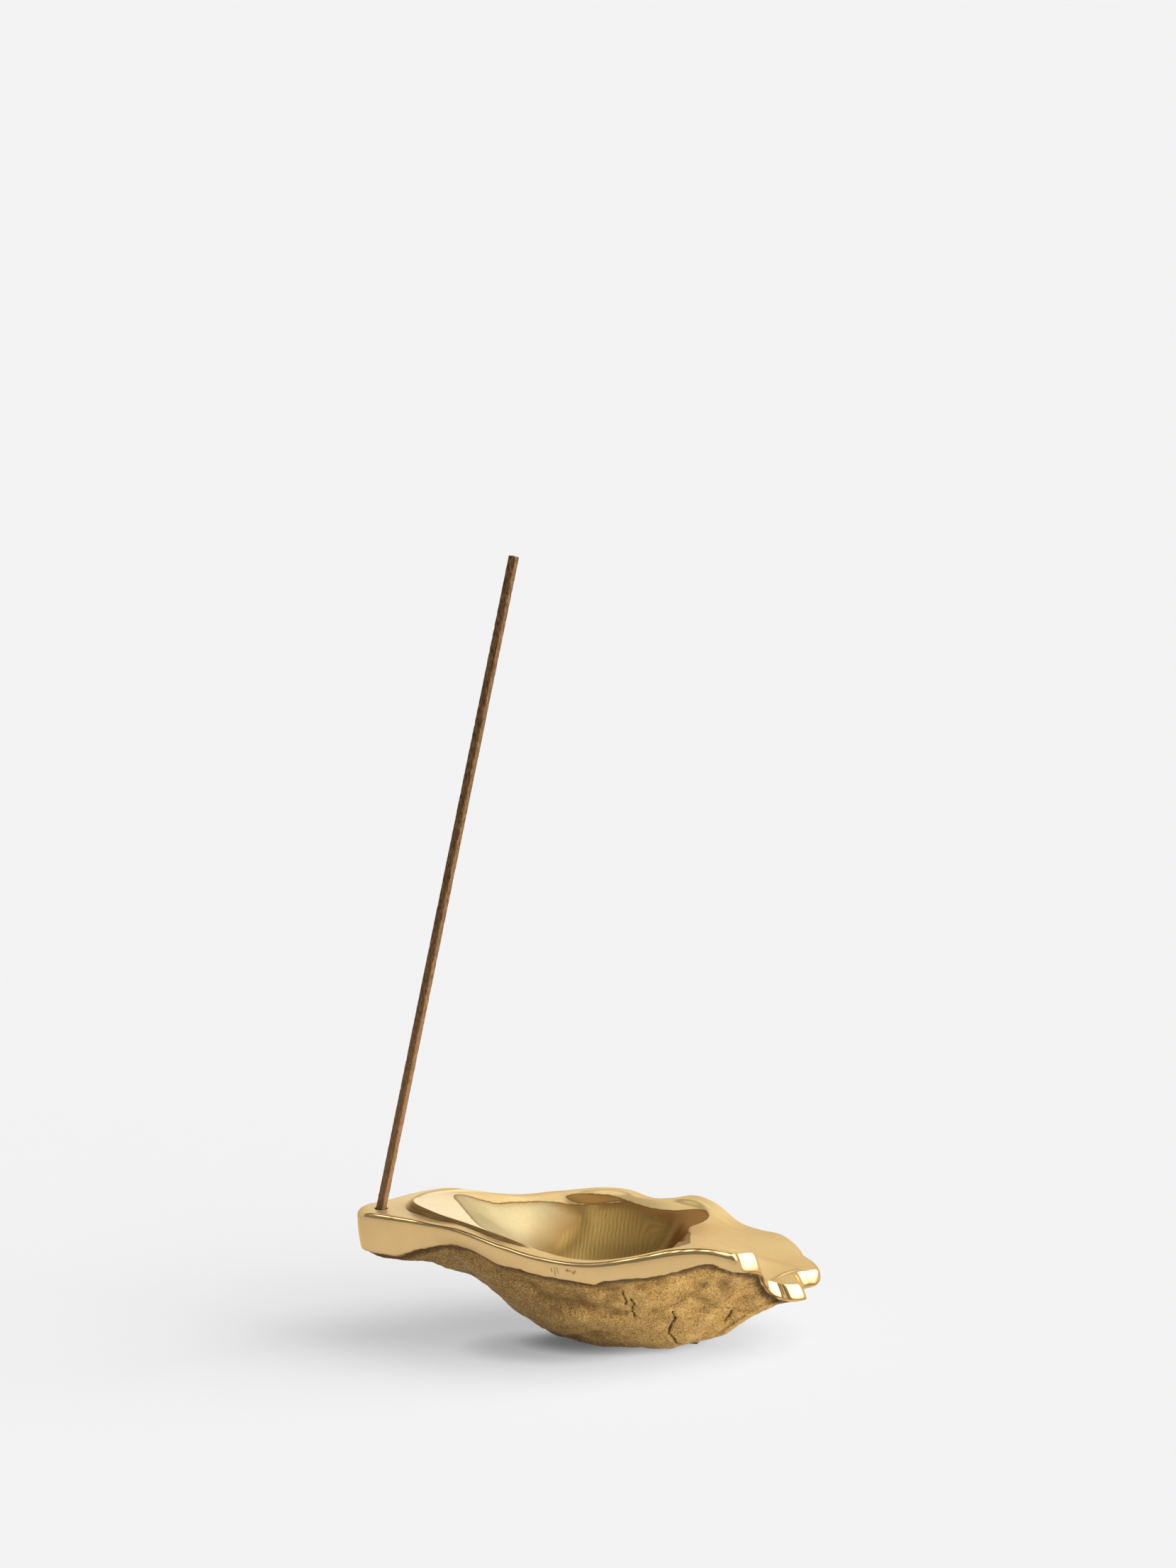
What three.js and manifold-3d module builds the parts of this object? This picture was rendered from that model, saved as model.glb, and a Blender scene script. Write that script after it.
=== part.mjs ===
// Incense holder: one solid brass casting in the form of an oyster's half shell, and the stick it holds.
// Millimetres, +Z up. The origin is the centre of the flat foot that the shell rests on.
// +X runs from the raised hinge end to the low lip, and -Y is the side that faces the viewer.

import * as THREE from "three";
import { mergeVertices } from "three/addons/utils/BufferGeometryUtils.js";
import Module from "manifold-3d";

// Driving sizes of the shell
const SHELL_LENGTH = 110.1;
const SHELL_WIDTH = 62.4;
const RIM_HEIGHT = 32.6;
const FLOOR_THICKNESS = 8.2;
const FOOT_LENGTH = 36.8;
const FOOT_WIDTH = 20;
const BAND_HEIGHT = 8.6;
const BAND_LEAN = 0.8;
const EDGE_ROUND = 0.9;
const STEP_HEIGHT = 2.3;
const RECESS_DEPTH = 2.6;
const RECESS_HALF_WIDTH = 1.3;
const TONGUE_DEPTH = 0.9;
const TONGUE_HALF_WIDTH = 4;
const CREASE_DEPTH = 0.6;
const CREASE_HALF_WIDTH = 1.2;

// Driving sizes of the stick and of the hole drilled for it
const STICK_SIDE = 1.9;
const STICK_LENGTH = 165.6;
const STICK_LEAN = 11.6;
const STICK_TURN = 30;
const STICK_CLEARANCE = 0.3;
const HOLE_DEPTH = 7;
const HOLE_INSET = 5.7;
const HOLE_OFFSET = -1.6;

// How finely the casting is divided
const STEPS_PER_STATION = 3;
const EDGE_STEPS = 3;
const RISER_STEPS = 2;
const DECK_STEPS = 5;
const BOWL_STEPS = 10;
const BAND_STEPS = 2;
const SKIN_STEPS = 9;
const HOLE_SIDES = 24;

// The rim seen from above, drawn from the hinge along the near side to the lip and back.
// Each station: x, y, height of the crest, and the polished band as a share of BAND_HEIGHT.
const RIM_STATIONS = [
  [-65.8, -0.8, 31.6, 1.0],
  [-64.4, -4.0, 31.6, 1.02],
  [-57.8, -7.7, 31.5, 1.08],
  [-50.6, -11.2, 31.3, 0.62],
  [-42.4, -17.2, 31.4, 0.4],
  [-32.1, -24.0, 29.5, 0.55],
  [-22.5, -28.2, 27.7, 0.41],
  [-12.0, -30.6, 27.0, 0.56],
  [-1.0, -31.2, 28.3, 0.62],
  [9.0, -30.2, 30.0, 0.56],
  [16.5, -28.4, 29.8, 0.47],
  [21.5, -26.9, 28.6, 0.51],
  // The near corner of the lip, with the scallops and two teeth cut by the polished ends of the ribs
  [23.9, -25.8, 27.7, 0.59],
  [27.4, -21.6, 26.3, 0.58],
  [28.9, -19.6, 22.9, 0.38],
  [31.6, -17.2, 19.2, 0.42],
  [33.7, -15.4, 17.4, 0.42],
  [35.4, -15.6, 17.1, 0.45],
  [39.4, -14.6, 16.5, 0.48],
  [40.3, -12.6, 16.3, 0.48],
  [39.3, -8.0, 16.7, 0.5],
  [40.1, -5.2, 16.9, 0.52],
  [43.4, -2.8, 16.6, 0.47],
  [44.3, 0.3, 16.6, 0.44],
  [43.1, 3.8, 16.9, 0.45],
  [40.9, 7.8, 17.5, 0.45],
  [39.4, 10.0, 18.2, 0.47],
  // The far side
  [36.6, 15.0, 19.4, 0.49],
  [31.3, 20.3, 19.7, 0.48],
  [26.4, 24.2, 20.4, 0.5],
  [20.3, 27.6, 24.0, 0.58],
  [15.8, 29.2, 25.9, 0.62],
  [10.7, 30.4, 25.2, 0.57],
  [5.5, 31.0, 25.1, 0.56],
  [-1.0, 31.2, 27.1, 0.63],
  [-8.0, 30.2, 27.8, 0.59],
  [-17.9, 27.2, 27.8, 0.56],
  [-28.2, 23.0, 28.0, 0.53],
  [-38.4, 17.0, 30.4, 0.56],
  [-46.0, 12.6, 32.6, 0.7],
  [-54.4, 7.8, 32.6, 1.07],
  [-60.5, 4.8, 31.7, 1.06],
  [-64.3, 2.4, 31.6, 1.02],
];

// The point in plan that every radial section of the shell runs to, under the bowl's deepest place.
const BOWL_CENTRE = { x: -8, y: 1 };

// Radial sections of the top, by direction in degrees from the bowl's centre.
// A flat ledge inside the rim ends at a riser, and a deck runs from the riser to the bowl's edge.
// Each section: direction, radius and width of the riser, share of STEP_HEIGHT, radius and height
// of the bowl's edge, power of the bowl's wall (1 is a straight ramp), and share of EDGE_ROUND.
const TOP_SECTIONS = [
  // Lip
  [2, 46.0, 1.2, 0.0, 21.0, 24.0, 2.2, 1.0],
  [18, 42.0, 1.2, 0.0, 22.8, 23.0, 2.2, 1.3],
  // Far side
  [35, 37.5, 1.0, 0.0, 26.5, 22.4, 2.2, 1.8],
  [45, 35.6, 1.0, 0.0, 28.5, 22.8, 2.2, 2.0],
  [58, 32.0, 0.6, 0.0, 27.0, 22.8, 2.2, 2.2],
  [77, 28.6, 0.6, 0.0, 25.0, 23.8, 2.2, 2.0],
  [100, 26.8, 0.4, 0.0, 23.0, 25.0, 2.1, 1.8],
  [120, 25.8, 0.4, 0.0, 22.8, 26.2, 1.9, 1.8],
  [137, 27.0, 0.6, 0.0, 24.4, 27.2, 1.6, 2.0],
  [156, 32.5, 1.0, 0.0, 29.0, 29.8, 1.3, 1.8],
  // Hinge, where the bowl's upper layer ends in a rounded step
  [166, 39.6, 2.0, 0.0, 34.0, 31.8, 1.15, 1.4],
  [173, 45.4, 1.6, 0.17, 34.8, 31.8, 1.1, 1.2],
  [180, 47.4, 0.8, 0.87, 33.2, 31.5, 1.1, 1.0],
  [188, 46.0, 0.6, 1.0, 30.6, 31.2, 1.15, 1.0],
  [193, 42.6, 0.5, 1.0, 29.0, 30.9, 1.2, 1.0],
  // Near side, where the step dies out and the rim grows thin
  [204, 37.3, 0.5, 0.74, 27.0, 29.8, 1.4, 1.0],
  [214, 34.3, 0.5, 0.57, 26.2, 28.8, 1.6, 1.0],
  [227, 31.7, 0.5, 0.48, 26.3, 27.6, 1.9, 1.0],
  [243, 29.8, 0.4, 0.04, 27.8, 26.0, 2.4, 0.9],
  [270, 30.9, 0.3, 0.0, 29.9, 25.6, 3.0, 0.8],
  [296, 33.6, 0.3, 0.0, 32.0, 28.4, 3.0, 0.8],
  [311, 35.4, 0.4, 0.0, 27.5, 28.4, 2.6, 0.9],
  [325, 39.0, 1.0, 0.0, 23.0, 26.6, 2.4, 0.8],
  // The low crescent inside the teeth
  [340, 42.6, 1.6, 0.26, 21.5, 25.0, 2.3, 0.8],
  [350, 44.6, 1.6, 0.48, 21.0, 24.4, 2.2, 0.8],
  [356, 48.0, 1.2, 0.22, 21.0, 24.2, 2.2, 0.9],
];

// Radial sections of the rough underside, by direction in degrees.
// Each section: direction, and the skin's height at 3/4, 1/2 and 1/4 of the way from the foot to
// the band, as shares of the height of the band's lower edge.
const SKIN_SECTIONS = [
  [0, 0.92, 0.69, 0.27],
  [20, 0.83, 0.6, 0.27],
  [45, 0.68, 0.42, 0.17],
  [90, 0.66, 0.36, 0.14],
  [135, 0.71, 0.42, 0.17],
  [160, 0.83, 0.58, 0.25],
  [180, 0.98, 0.9, 0.42],
  [192, 0.9, 0.68, 0.29],
  [205, 0.75, 0.45, 0.17],
  [226, 0.65, 0.36, 0.14],
  [248, 0.63, 0.33, 0.125],
  [270, 0.65, 0.36, 0.13],
  [300, 0.62, 0.33, 0.12],
  [322, 0.6, 0.31, 0.11],
  [340, 0.83, 0.5, 0.19],
];

// Outer part of the bowl's radius over which its edge rolls into the wall
const SHOULDER_SHARE = 0.7;

// Two shallow hollows in the far side of the top: middle direction, half the arc, and radius.
const RECESS = { direction: 95, halfArc: 21, radius: 25.7 };
const TONGUE = { direction: 41, halfArc: 13, radius: 29 };

// The crease in the bowl, where the ramp from the hinge meets the round pocket
const CREASE = [
  [-14.5, 25.5],
  [-12, 22.3],
  [-14, 20],
  [-17.5, 16],
  [-20, 9],
  [-20, 0],
  [-17, -9],
  [-13, -15],
];

// The drawing is stretched to the driving sizes
const extent = (column) => {
  const values = RIM_STATIONS.map((station) => station[column]);
  return Math.max(...values) - Math.min(...values);
};
const STRETCH_X = SHELL_LENGTH / extent(0);
const STRETCH_Y = SHELL_WIDTH / extent(1);
const STRETCH_Z = RIM_HEIGHT / Math.max(...RIM_STATIONS.map((station) => station[2]));

// Real length that one unit of the drawing has along a direction in plan
function stretchAlong(cosine, sine) {
  return Math.hypot(cosine * STRETCH_X, sine * STRETCH_Y);
}

const CENTRE_X = BOWL_CENTRE.x / STRETCH_X;
const CENTRE_Y = BOWL_CENTRE.y / STRETCH_Y;

// Smooth curves through stations and sections

// Value between b and c at share t, with slopes given for the whole interval
function hermite(b, c, slopeB, slopeC, t) {
  const t2 = t * t;
  const t3 = t2 * t;
  const fromB = (2 * t3 - 3 * t2 + 1) * b + (t3 - 2 * t2 + t) * slopeB;
  return fromB + (3 * t2 - 2 * t3) * c + (t3 - t2) * slopeC;
}

// Closed curve through the rim's stations, spaced by the root of their distance
function rimPoint(index, share) {
  const count = RIM_STATIONS.length;
  const [p, q, r, s] = [-1, 0, 1, 2].map((k) => RIM_STATIONS[(index + k + count) % count]);
  const gap = (a, b) => Math.sqrt(Math.hypot(b[0] - a[0], b[1] - a[1], b[2] - a[2]));
  const before = gap(p, q);
  const here = gap(q, r);
  const after = gap(r, s);
  return q.map((value, k) => {
    const slopeIn = (q[k] - p[k]) / before - (r[k] - p[k]) / (before + here) + (r[k] - q[k]) / here;
    const slopeOut = (r[k] - q[k]) / here - (s[k] - q[k]) / (here + after) + (s[k] - r[k]) / after;
    return hermite(value, r[k], slopeIn * here, slopeOut * here, share);
  });
}

// Values of a table of sections at a direction, with the table closed on itself
function sectionAt(table, direction) {
  const count = table.length;
  const turn = ((direction % 360) + 360) % 360;
  let index = table.findIndex((row) => row[0] > turn) - 1;
  if (index === -2) {
    index = count - 1;
  }
  const angle = (k) => table[(k + count) % count][0] + 360 * Math.floor(k / count);
  const before = angle(index) - angle(index - 1);
  const here = angle(index + 1) - angle(index);
  const after = angle(index + 2) - angle(index + 1);
  const share = (turn - angle(index)) / here;
  const rows = [-1, 0, 1, 2].map((k) => table[(index + k + count) % count].slice(1));
  const [p, q, r, s] = rows;
  return q.map((value, k) => {
    const left = (q[k] - p[k]) / before;
    const middle = (r[k] - q[k]) / here;
    const right = (s[k] - r[k]) / after;
    const slopeIn = ((left * here + middle * before) / (here + before)) * here;
    const slopeOut = ((middle * after + right * here) / (here + after)) * here;
    return hermite(value, r[k], slopeIn, slopeOut, share);
  });
}

// Distance in the drawing from the bowl's centre to the foot's ellipse, along a direction
function footRadius(cosine, sine) {
  const halfX = FOOT_LENGTH / 2 / STRETCH_X;
  const halfY = FOOT_WIDTH / 2 / STRETCH_Y;
  const a = (cosine / halfX) ** 2 + (sine / halfY) ** 2;
  const b = 2 * ((CENTRE_X * cosine) / halfX ** 2 + (CENTRE_Y * sine) / halfY ** 2);
  const c = (CENTRE_X / halfX) ** 2 + (CENTRE_Y / halfY) ** 2 - 1;
  return (-b + Math.sqrt(b * b - 4 * a * c)) / (2 * a);
}

// Everything that one radial section of the casting needs
function radialSection(index, share) {
  const [x, y, crest, band] = rimPoint(index, share);
  const radius = Math.hypot(x - CENTRE_X, y - CENTRE_Y);
  const cosine = (x - CENTRE_X) / radius;
  const sine = (y - CENTRE_Y) / radius;
  const direction = (Math.atan2(sine, cosine) * 180) / Math.PI;
  const stretch = stretchAlong(cosine, sine);
  const top = sectionAt(TOP_SECTIONS, direction);
  const [riser, riserWidth, step, edge, edgeHeight, power, round] = top;
  const crestHeight = crest * STRETCH_Z;
  return {
    cosine,
    sine,
    direction: (direction + 360) % 360,
    radius,
    crest: crestHeight,
    bandBottom: crestHeight - BAND_HEIGHT * band,
    riser,
    riserWidth,
    step: STEP_HEIGHT * step,
    edge,
    edgeHeight: edgeHeight * STRETCH_Z,
    power,
    round: Math.min(EDGE_ROUND * round, 0.9 * (radius - riser) * stretch),
    stretch,
    skin: sectionAt(SKIN_SECTIONS, direction),
    foot: footRadius(cosine, sine),
  };
}

// Harmonic mean of two slopes that agree in sign, or a level place where they don't
function easedSlope(one, other) {
  return one * other > 0 ? (2 * one * other) / (one + other) : 0;
}

// Local hollows of the top

function arcHollow(section, radius, hollow, depth, halfWidth) {
  const along = (section.direction - hollow.direction) / hollow.halfArc;
  const across = (radius - hollow.radius) / halfWidth;
  return -depth * Math.max(0, 1 - along * along) * Math.exp(-across * across);
}

function distanceToCrease(x, y) {
  let nearest = Infinity;
  const points = CREASE.map(([creaseX, creaseY]) => [creaseX * STRETCH_X, creaseY * STRETCH_Y]);
  for (let k = 1; k < points.length; k += 1) {
    const [ax, ay] = points[k - 1];
    const [bx, by] = points[k];
    const length2 = (bx - ax) ** 2 + (by - ay) ** 2;
    const along = ((x - ax) * (bx - ax) + (y - ay) * (by - ay)) / length2;
    const share = Math.min(1, Math.max(0, along));
    nearest = Math.min(nearest, Math.hypot(x - ax - share * (bx - ax), y - ay - share * (by - ay)));
  }
  return nearest;
}

function hollows(section, radius) {
  const x = BOWL_CENTRE.x + section.cosine * radius * STRETCH_X;
  const y = BOWL_CENTRE.y + section.sine * radius * STRETCH_Y;
  const crease = distanceToCrease(x, y) / CREASE_HALF_WIDTH;
  const reach = radius * section.stretch;
  const recess = arcHollow(section, reach, RECESS, RECESS_DEPTH, RECESS_HALF_WIDTH);
  const tongue = arcHollow(section, reach, TONGUE, TONGUE_DEPTH, TONGUE_HALF_WIDTH);
  return recess + tongue - CREASE_DEPTH * Math.exp(-crease * crease);
}

// Points of a section as [radius, height], from the rim's outer edge in to the bowl's centre
function topPoints(section) {
  const { radius, round, crest, riser, riserWidth, step, edge, edgeHeight, power } = section;
  const points = [];
  for (let k = 0; k <= EDGE_STEPS; k += 1) {
    const angle = (Math.PI / 2) * (k / EDGE_STEPS);
    const inset = (round * (1 - Math.cos(angle))) / section.stretch;
    points.push([radius - inset, crest - round * (1 - Math.sin(angle))]);
  }
  points.push([riser, crest]);
  for (let k = 1; k <= RISER_STEPS; k += 1) {
    const share = k / RISER_STEPS;
    points.push([riser - riserWidth * share, hermite(crest, crest + step, 0, 0, share)]);
  }
  const deckWidth = riser - riserWidth - edge;
  const shoulderWidth = (1 - SHOULDER_SHARE) * edge;
  const rise = edgeHeight - FLOOR_THICKNESS;
  const shoulder = FLOOR_THICKNESS + rise * SHOULDER_SHARE ** power;
  const deckSlope = (crest + step - edgeHeight) / deckWidth;
  const edgeSlope = easedSlope(deckSlope, (edgeHeight - shoulder) / shoulderWidth);
  const wallSlope = ((rise * power) / edge) * SHOULDER_SHARE ** (power - 1);
  for (let k = 1; k <= DECK_STEPS; k += 1) {
    const share = k / DECK_STEPS;
    const height = hermite(crest + step, edgeHeight, 0, -edgeSlope * deckWidth, share);
    points.push([riser - riserWidth - deckWidth * share, height]);
  }
  for (let k = 1; k < BOWL_STEPS; k += 1) {
    const share = 1 - k / BOWL_STEPS;
    const inward = (1 - share) / (1 - SHOULDER_SHARE);
    const slopeIn = -edgeSlope * shoulderWidth;
    const slopeOut = -wallSlope * shoulderWidth;
    const onShoulder = hermite(edgeHeight, shoulder, slopeIn, slopeOut, inward);
    points.push([edge * share, inward < 1 ? onShoulder : FLOOR_THICKNESS + rise * share ** power]);
  }
  return points.map(([reach, height]) => [reach, height + hollows(section, reach)]);
}

// Points of a section from the band's lower half in to the foot
function skinPoints(section) {
  const { radius, round, crest, bandBottom, skin, foot } = section;
  const points = [];
  const bandTop = crest - round;
  const lean = BAND_LEAN / section.stretch;
  for (let k = 1; k <= BAND_STEPS; k += 1) {
    const share = k / BAND_STEPS;
    points.push([radius - lean * share * share, bandTop + (bandBottom - bandTop) * share]);
  }
  const heights = [0, skin[2], skin[1], skin[0], 1].map((share) => share * bandBottom);
  const rises = [0, 1, 2, 3].map((k) => heights[k + 1] - heights[k]);
  const slopes = [0.6 * rises[0], 0, 0, 0, 1.2 * rises[3]];
  for (let k = 1; k < 4; k += 1) {
    slopes[k] = easedSlope(rises[k - 1], rises[k]);
  }
  for (let k = 1; k <= SKIN_STEPS; k += 1) {
    const share = 1 - k / SKIN_STEPS;
    const interval = Math.min(Math.floor(share * 4), 3);
    const height = hermite(
      heights[interval],
      heights[interval + 1],
      slopes[interval],
      slopes[interval + 1],
      share * 4 - interval,
    );
    points.push([foot + (radius - lean - foot) * share, height]);
  }
  return points;
}

// Closed surface of the casting, from the bowl's centre over the rim to the middle of the foot
function shellGeometry() {
  const sections = [];
  for (let index = 0; index < RIM_STATIONS.length; index += 1) {
    for (let k = 0; k < STEPS_PER_STATION; k += 1) {
      const section = radialSection(index, k / STEPS_PER_STATION);
      section.points = [...topPoints(section).reverse(), ...skinPoints(section)];
      sections.push(section);
    }
  }
  const ringCount = sections[0].points.length;
  const around = sections.length;
  const place = (cosine, sine, reach, height) => [
    BOWL_CENTRE.x + cosine * reach * STRETCH_X,
    BOWL_CENTRE.y + sine * reach * STRETCH_Y,
    height,
  ];
  const positions = [...place(0, 0, 0, FLOOR_THICKNESS)];
  for (let ring = 0; ring < ringCount; ring += 1) {
    for (const section of sections) {
      const [reach, height] = section.points[ring];
      positions.push(...place(section.cosine, section.sine, reach, height));
    }
  }
  positions.push(...place(0, 0, 0, 0));
  const last = positions.length / 3 - 1;
  const vertex = (ring, k) => 1 + ring * around + (k % around);
  const faces = [];
  for (let k = 0; k < around; k += 1) {
    faces.push(0, vertex(0, k), vertex(0, k + 1));
    for (let ring = 0; ring < ringCount - 1; ring += 1) {
      faces.push(vertex(ring, k), vertex(ring + 1, k), vertex(ring + 1, k + 1));
      faces.push(vertex(ring, k), vertex(ring + 1, k + 1), vertex(ring, k + 1));
    }
    faces.push(vertex(ringCount - 1, k), last, vertex(ringCount - 1, k + 1));
  }
  const geometry = new THREE.BufferGeometry();
  geometry.setAttribute("position", new THREE.Float32BufferAttribute(positions, 3));
  geometry.setIndex(faces);
  return geometry;
}

// Solids for cutting

const wasm = await Module();
wasm.setup();

function toSolid(geometry) {
  const bare = geometry.clone();
  bare.deleteAttribute("normal");
  bare.deleteAttribute("uv");
  const merged = mergeVertices(bare, 1e-4);
  const vertProperties = new Float32Array(merged.attributes.position.array);
  const triVerts = new Uint32Array(merged.index.array);
  return new wasm.Manifold(new wasm.Mesh({ numProp: 3, vertProperties, triVerts }));
}

function fromSolid(solid) {
  const mesh = solid.getMesh();
  const geometry = new THREE.BufferGeometry();
  geometry.setAttribute("position", new THREE.Float32BufferAttribute(mesh.vertProperties, 3));
  geometry.setIndex(new THREE.Uint32BufferAttribute(mesh.triVerts, 1));
  geometry.computeVertexNormals();
  return geometry;
}

// The hole's mouth, on the flat plate behind the step, and the direction that the stick leans in
const plateHeight = RIM_STATIONS[0][2] * STRETCH_Z;
const hingeTip = RIM_STATIONS[0][0] * STRETCH_X;
const holeMouth = new THREE.Vector3(hingeTip + HOLE_INSET, HOLE_OFFSET, plateHeight);
const lean = THREE.MathUtils.degToRad(STICK_LEAN);
const stickDirection = new THREE.Vector3(Math.sin(lean), 0, Math.cos(lean));
const HOLE_DIAMETER = STICK_SIDE * Math.SQRT2 + 2 * STICK_CLEARANCE;

// The drill runs out past the plate by its own diameter
function drillGeometry() {
  const length = HOLE_DEPTH + HOLE_DIAMETER;
  const drill = new THREE.CylinderGeometry(HOLE_DIAMETER / 2, HOLE_DIAMETER / 2, length, HOLE_SIDES);
  drill.rotateX(Math.PI / 2);
  drill.translate(0, 0, length / 2 - HOLE_DEPTH);
  drill.rotateY(lean);
  drill.translate(holeMouth.x, holeMouth.y, holeMouth.z);
  return drill;
}

function makeShell() {
  const casting = toSolid(shellGeometry()).subtract(toSolid(drillGeometry()));
  const brass = new THREE.MeshStandardMaterial({ color: 0xd2a868, roughness: 0.25, metalness: 1 });
  const shell = new THREE.Mesh(fromSolid(casting), brass);
  shell.name = "shell";
  return shell;
}

// The stick stands on the hole's bottom, less the clearance that both keep
function makeStick() {
  const wood = new THREE.MeshStandardMaterial({ color: 0x5a3c26, roughness: 0.9, metalness: 0 });
  const stick = new THREE.Mesh(new THREE.BoxGeometry(STICK_SIDE, STICK_SIDE, STICK_LENGTH), wood);
  stick.name = "incense_stick";
  const foot = STICK_CLEARANCE - HOLE_DEPTH;
  stick.position.copy(holeMouth).addScaledVector(stickDirection, foot + STICK_LENGTH / 2);
  stick.rotation.set(0, lean, -THREE.MathUtils.degToRad(STICK_TURN));
  return stick;
}

const incenseHolder = new THREE.Group();
incenseHolder.add(makeShell());
incenseHolder.add(makeStick());

export default incenseHolder;
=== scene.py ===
"""Looks of a cast brass oyster shell that holds one incense stick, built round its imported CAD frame."""

import math

import bpy
import numpy as np
from bpy.props import (
    FloatProperty,
    FloatVectorProperty,
    IntProperty,
    PointerProperty,
)
from mathutils import Matrix, Vector, noise


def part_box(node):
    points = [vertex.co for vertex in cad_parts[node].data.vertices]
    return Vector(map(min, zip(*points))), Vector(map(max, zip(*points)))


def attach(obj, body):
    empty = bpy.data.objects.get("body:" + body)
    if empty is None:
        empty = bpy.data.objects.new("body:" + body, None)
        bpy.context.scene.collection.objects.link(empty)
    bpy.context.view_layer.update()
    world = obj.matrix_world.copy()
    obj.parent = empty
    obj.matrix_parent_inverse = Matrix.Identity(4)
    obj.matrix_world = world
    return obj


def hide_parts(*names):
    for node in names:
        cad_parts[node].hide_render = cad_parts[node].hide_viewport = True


bl_info = {
    "name": "Oyster Shell Incense Holder",
    "version": (1, 0, 0),
    "blender": (4, 5, 0),
    "location": "View3D > Sidebar > Incense Holder",
    "description": "Builds a cast brass oyster shell with a polished rim and the incense stick it holds",
    "category": "Add Mesh",
}

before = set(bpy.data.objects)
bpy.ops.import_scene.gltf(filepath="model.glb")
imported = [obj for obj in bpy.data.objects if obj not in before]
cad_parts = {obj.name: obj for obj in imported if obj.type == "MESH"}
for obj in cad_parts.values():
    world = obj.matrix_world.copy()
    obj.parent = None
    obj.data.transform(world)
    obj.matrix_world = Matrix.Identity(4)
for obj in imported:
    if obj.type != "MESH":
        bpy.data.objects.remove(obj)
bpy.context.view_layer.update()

# Shapes below are drawn in millimetres and built in metres
MM = 0.001


def colour(code):
    """Linear colour of a six-digit sRGB code."""
    values = [int(code[k : k + 2], 16) / 255 for k in (0, 2, 4)]
    return tuple(v / 12.92 if v <= 0.04045 else ((v + 0.055) / 1.055) ** 2.4 for v in values)


# Drawing of the shell

# Point in plan that every radial section runs to, and the casting's top and bottom there
CENTRE = np.array([-8.0, 1.0])
FLOOR_HEIGHT = 8.2
FOOT_HEIGHT = 0.2
FOOT_HALF_LENGTH = 18.4
FOOT_HALF_WIDTH = 10.0

# How far the band leans in towards its lower edge
BAND_LEAN = 0.8

# Share of the bowl's radius where its rolled edge starts, and the round dish of its bottom: the
# share of the radius that it covers, and its rise there
SHOULDER_SHARE = 0.7
DISH_SHARE = 0.45
DISH_RISE = 3.4

# Stretches of directions in degrees: over how much each one begins and ends, from its outside in
FACETS = ((319, 322), (359, 356))
LEDGE = ((196, 208), (250, 236))
HINGE = ((160, 172), (202, 190))
MAIN_RISER = ((179, 187), (300, 260))
# The slope below the riser and the hinge's ledge get a painted highlight, pale cream in place of a bright
# reflection
SATIN_EDGE = ((2, 14), (190, 178))
SLOPE_PAINTED_HIGHLIGHT = ((155, 182), (243, 222))
PLATE_PAINTED_HIGHLIGHT = ((160, 172), (218, 200))

# How flat the lip's facets are cut, how much the ledge outside the riser rises inward, and how far
# the skin hangs under the band at the hinge
FACET_FLATNESS = 0.75
LEDGE_RISE = 0.35
SKIN_HANG = 0.9

# The rim from the hinge along the near side to the lip and back:
# x, y, height of the crest, height of the polished band's lower edge
RIM = np.array([
    (-65.8, -0.8, 31.6, 22.2),
    (-64.4, -4.0, 31.6, 21.8),
    (-57.8, -7.7, 31.5, 21.7),
    (-50.6, -11.2, 31.3, 24.4),
    (-42.4, -17.2, 31.4, 27.2),
    (-32.1, -24.0, 29.5, 24.4),
    (-22.5, -28.2, 27.7, 22.9),
    (-12.0, -30.6, 27.0, 21.8),
    (-1.0, -31.2, 28.3, 22.9),
    (9.0, -30.2, 30.0, 24.2),
    (16.5, -28.4, 29.8, 25.4),
    (21.8, -26.7, 28.5, 24.1),
    # The scallops and two teeth of the lip
    (23.6, -26.1, 27.9, 23.1),
    (24.8, -25.0, 27.2, 22.4),
    (29.1, -21.0, 26.0, 21.0),
    (30.1, -19.4, 22.6, 19.0),
    (32.0, -17.4, 19.0, 15.8),
    (34.9, -15.5, 17.3, 13.6),
    (35.7, -15.9, 17.2, 13.3),
    (39.5, -13.7, 16.5, 12.3),
    (40.4, -12.1, 16.3, 12.2),
    (39.4, -8.2, 16.7, 12.4),
    (40.2, -5.2, 16.9, 12.4),
    (43.2, -2.8, 16.7, 12.6),
    (44.3, 0.3, 16.8, 12.8),
    (43.1, 3.8, 17.2, 13.0),
    (40.9, 7.2, 17.8, 13.6),
    (40.0, 9.4, 18.7, 14.1),
    # The far side
    (36.6, 15.0, 20.2, 15.4),
    (31.3, 20.3, 20.1, 15.7),
    (26.4, 24.2, 20.9, 16.3),
    (20.3, 27.6, 24.9, 19.4),
    (15.8, 29.2, 26.2, 20.8),
    (10.7, 30.4, 25.3, 20.3),
    (5.5, 31.0, 25.1, 20.3),
    (-1.0, 31.2, 27.2, 21.7),
    (-8.0, 30.2, 28.0, 22.7),
    (-17.9, 27.2, 28.1, 23.0),
    (-28.2, 23.0, 28.3, 23.4),
    (-38.4, 17.0, 30.6, 25.6),
    (-46.0, 12.6, 32.7, 26.6),
    (-54.4, 7.8, 32.6, 23.4),
    (-60.5, 4.8, 31.7, 22.4),
    (-64.3, 2.4, 31.6, 22.3),
])

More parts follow.
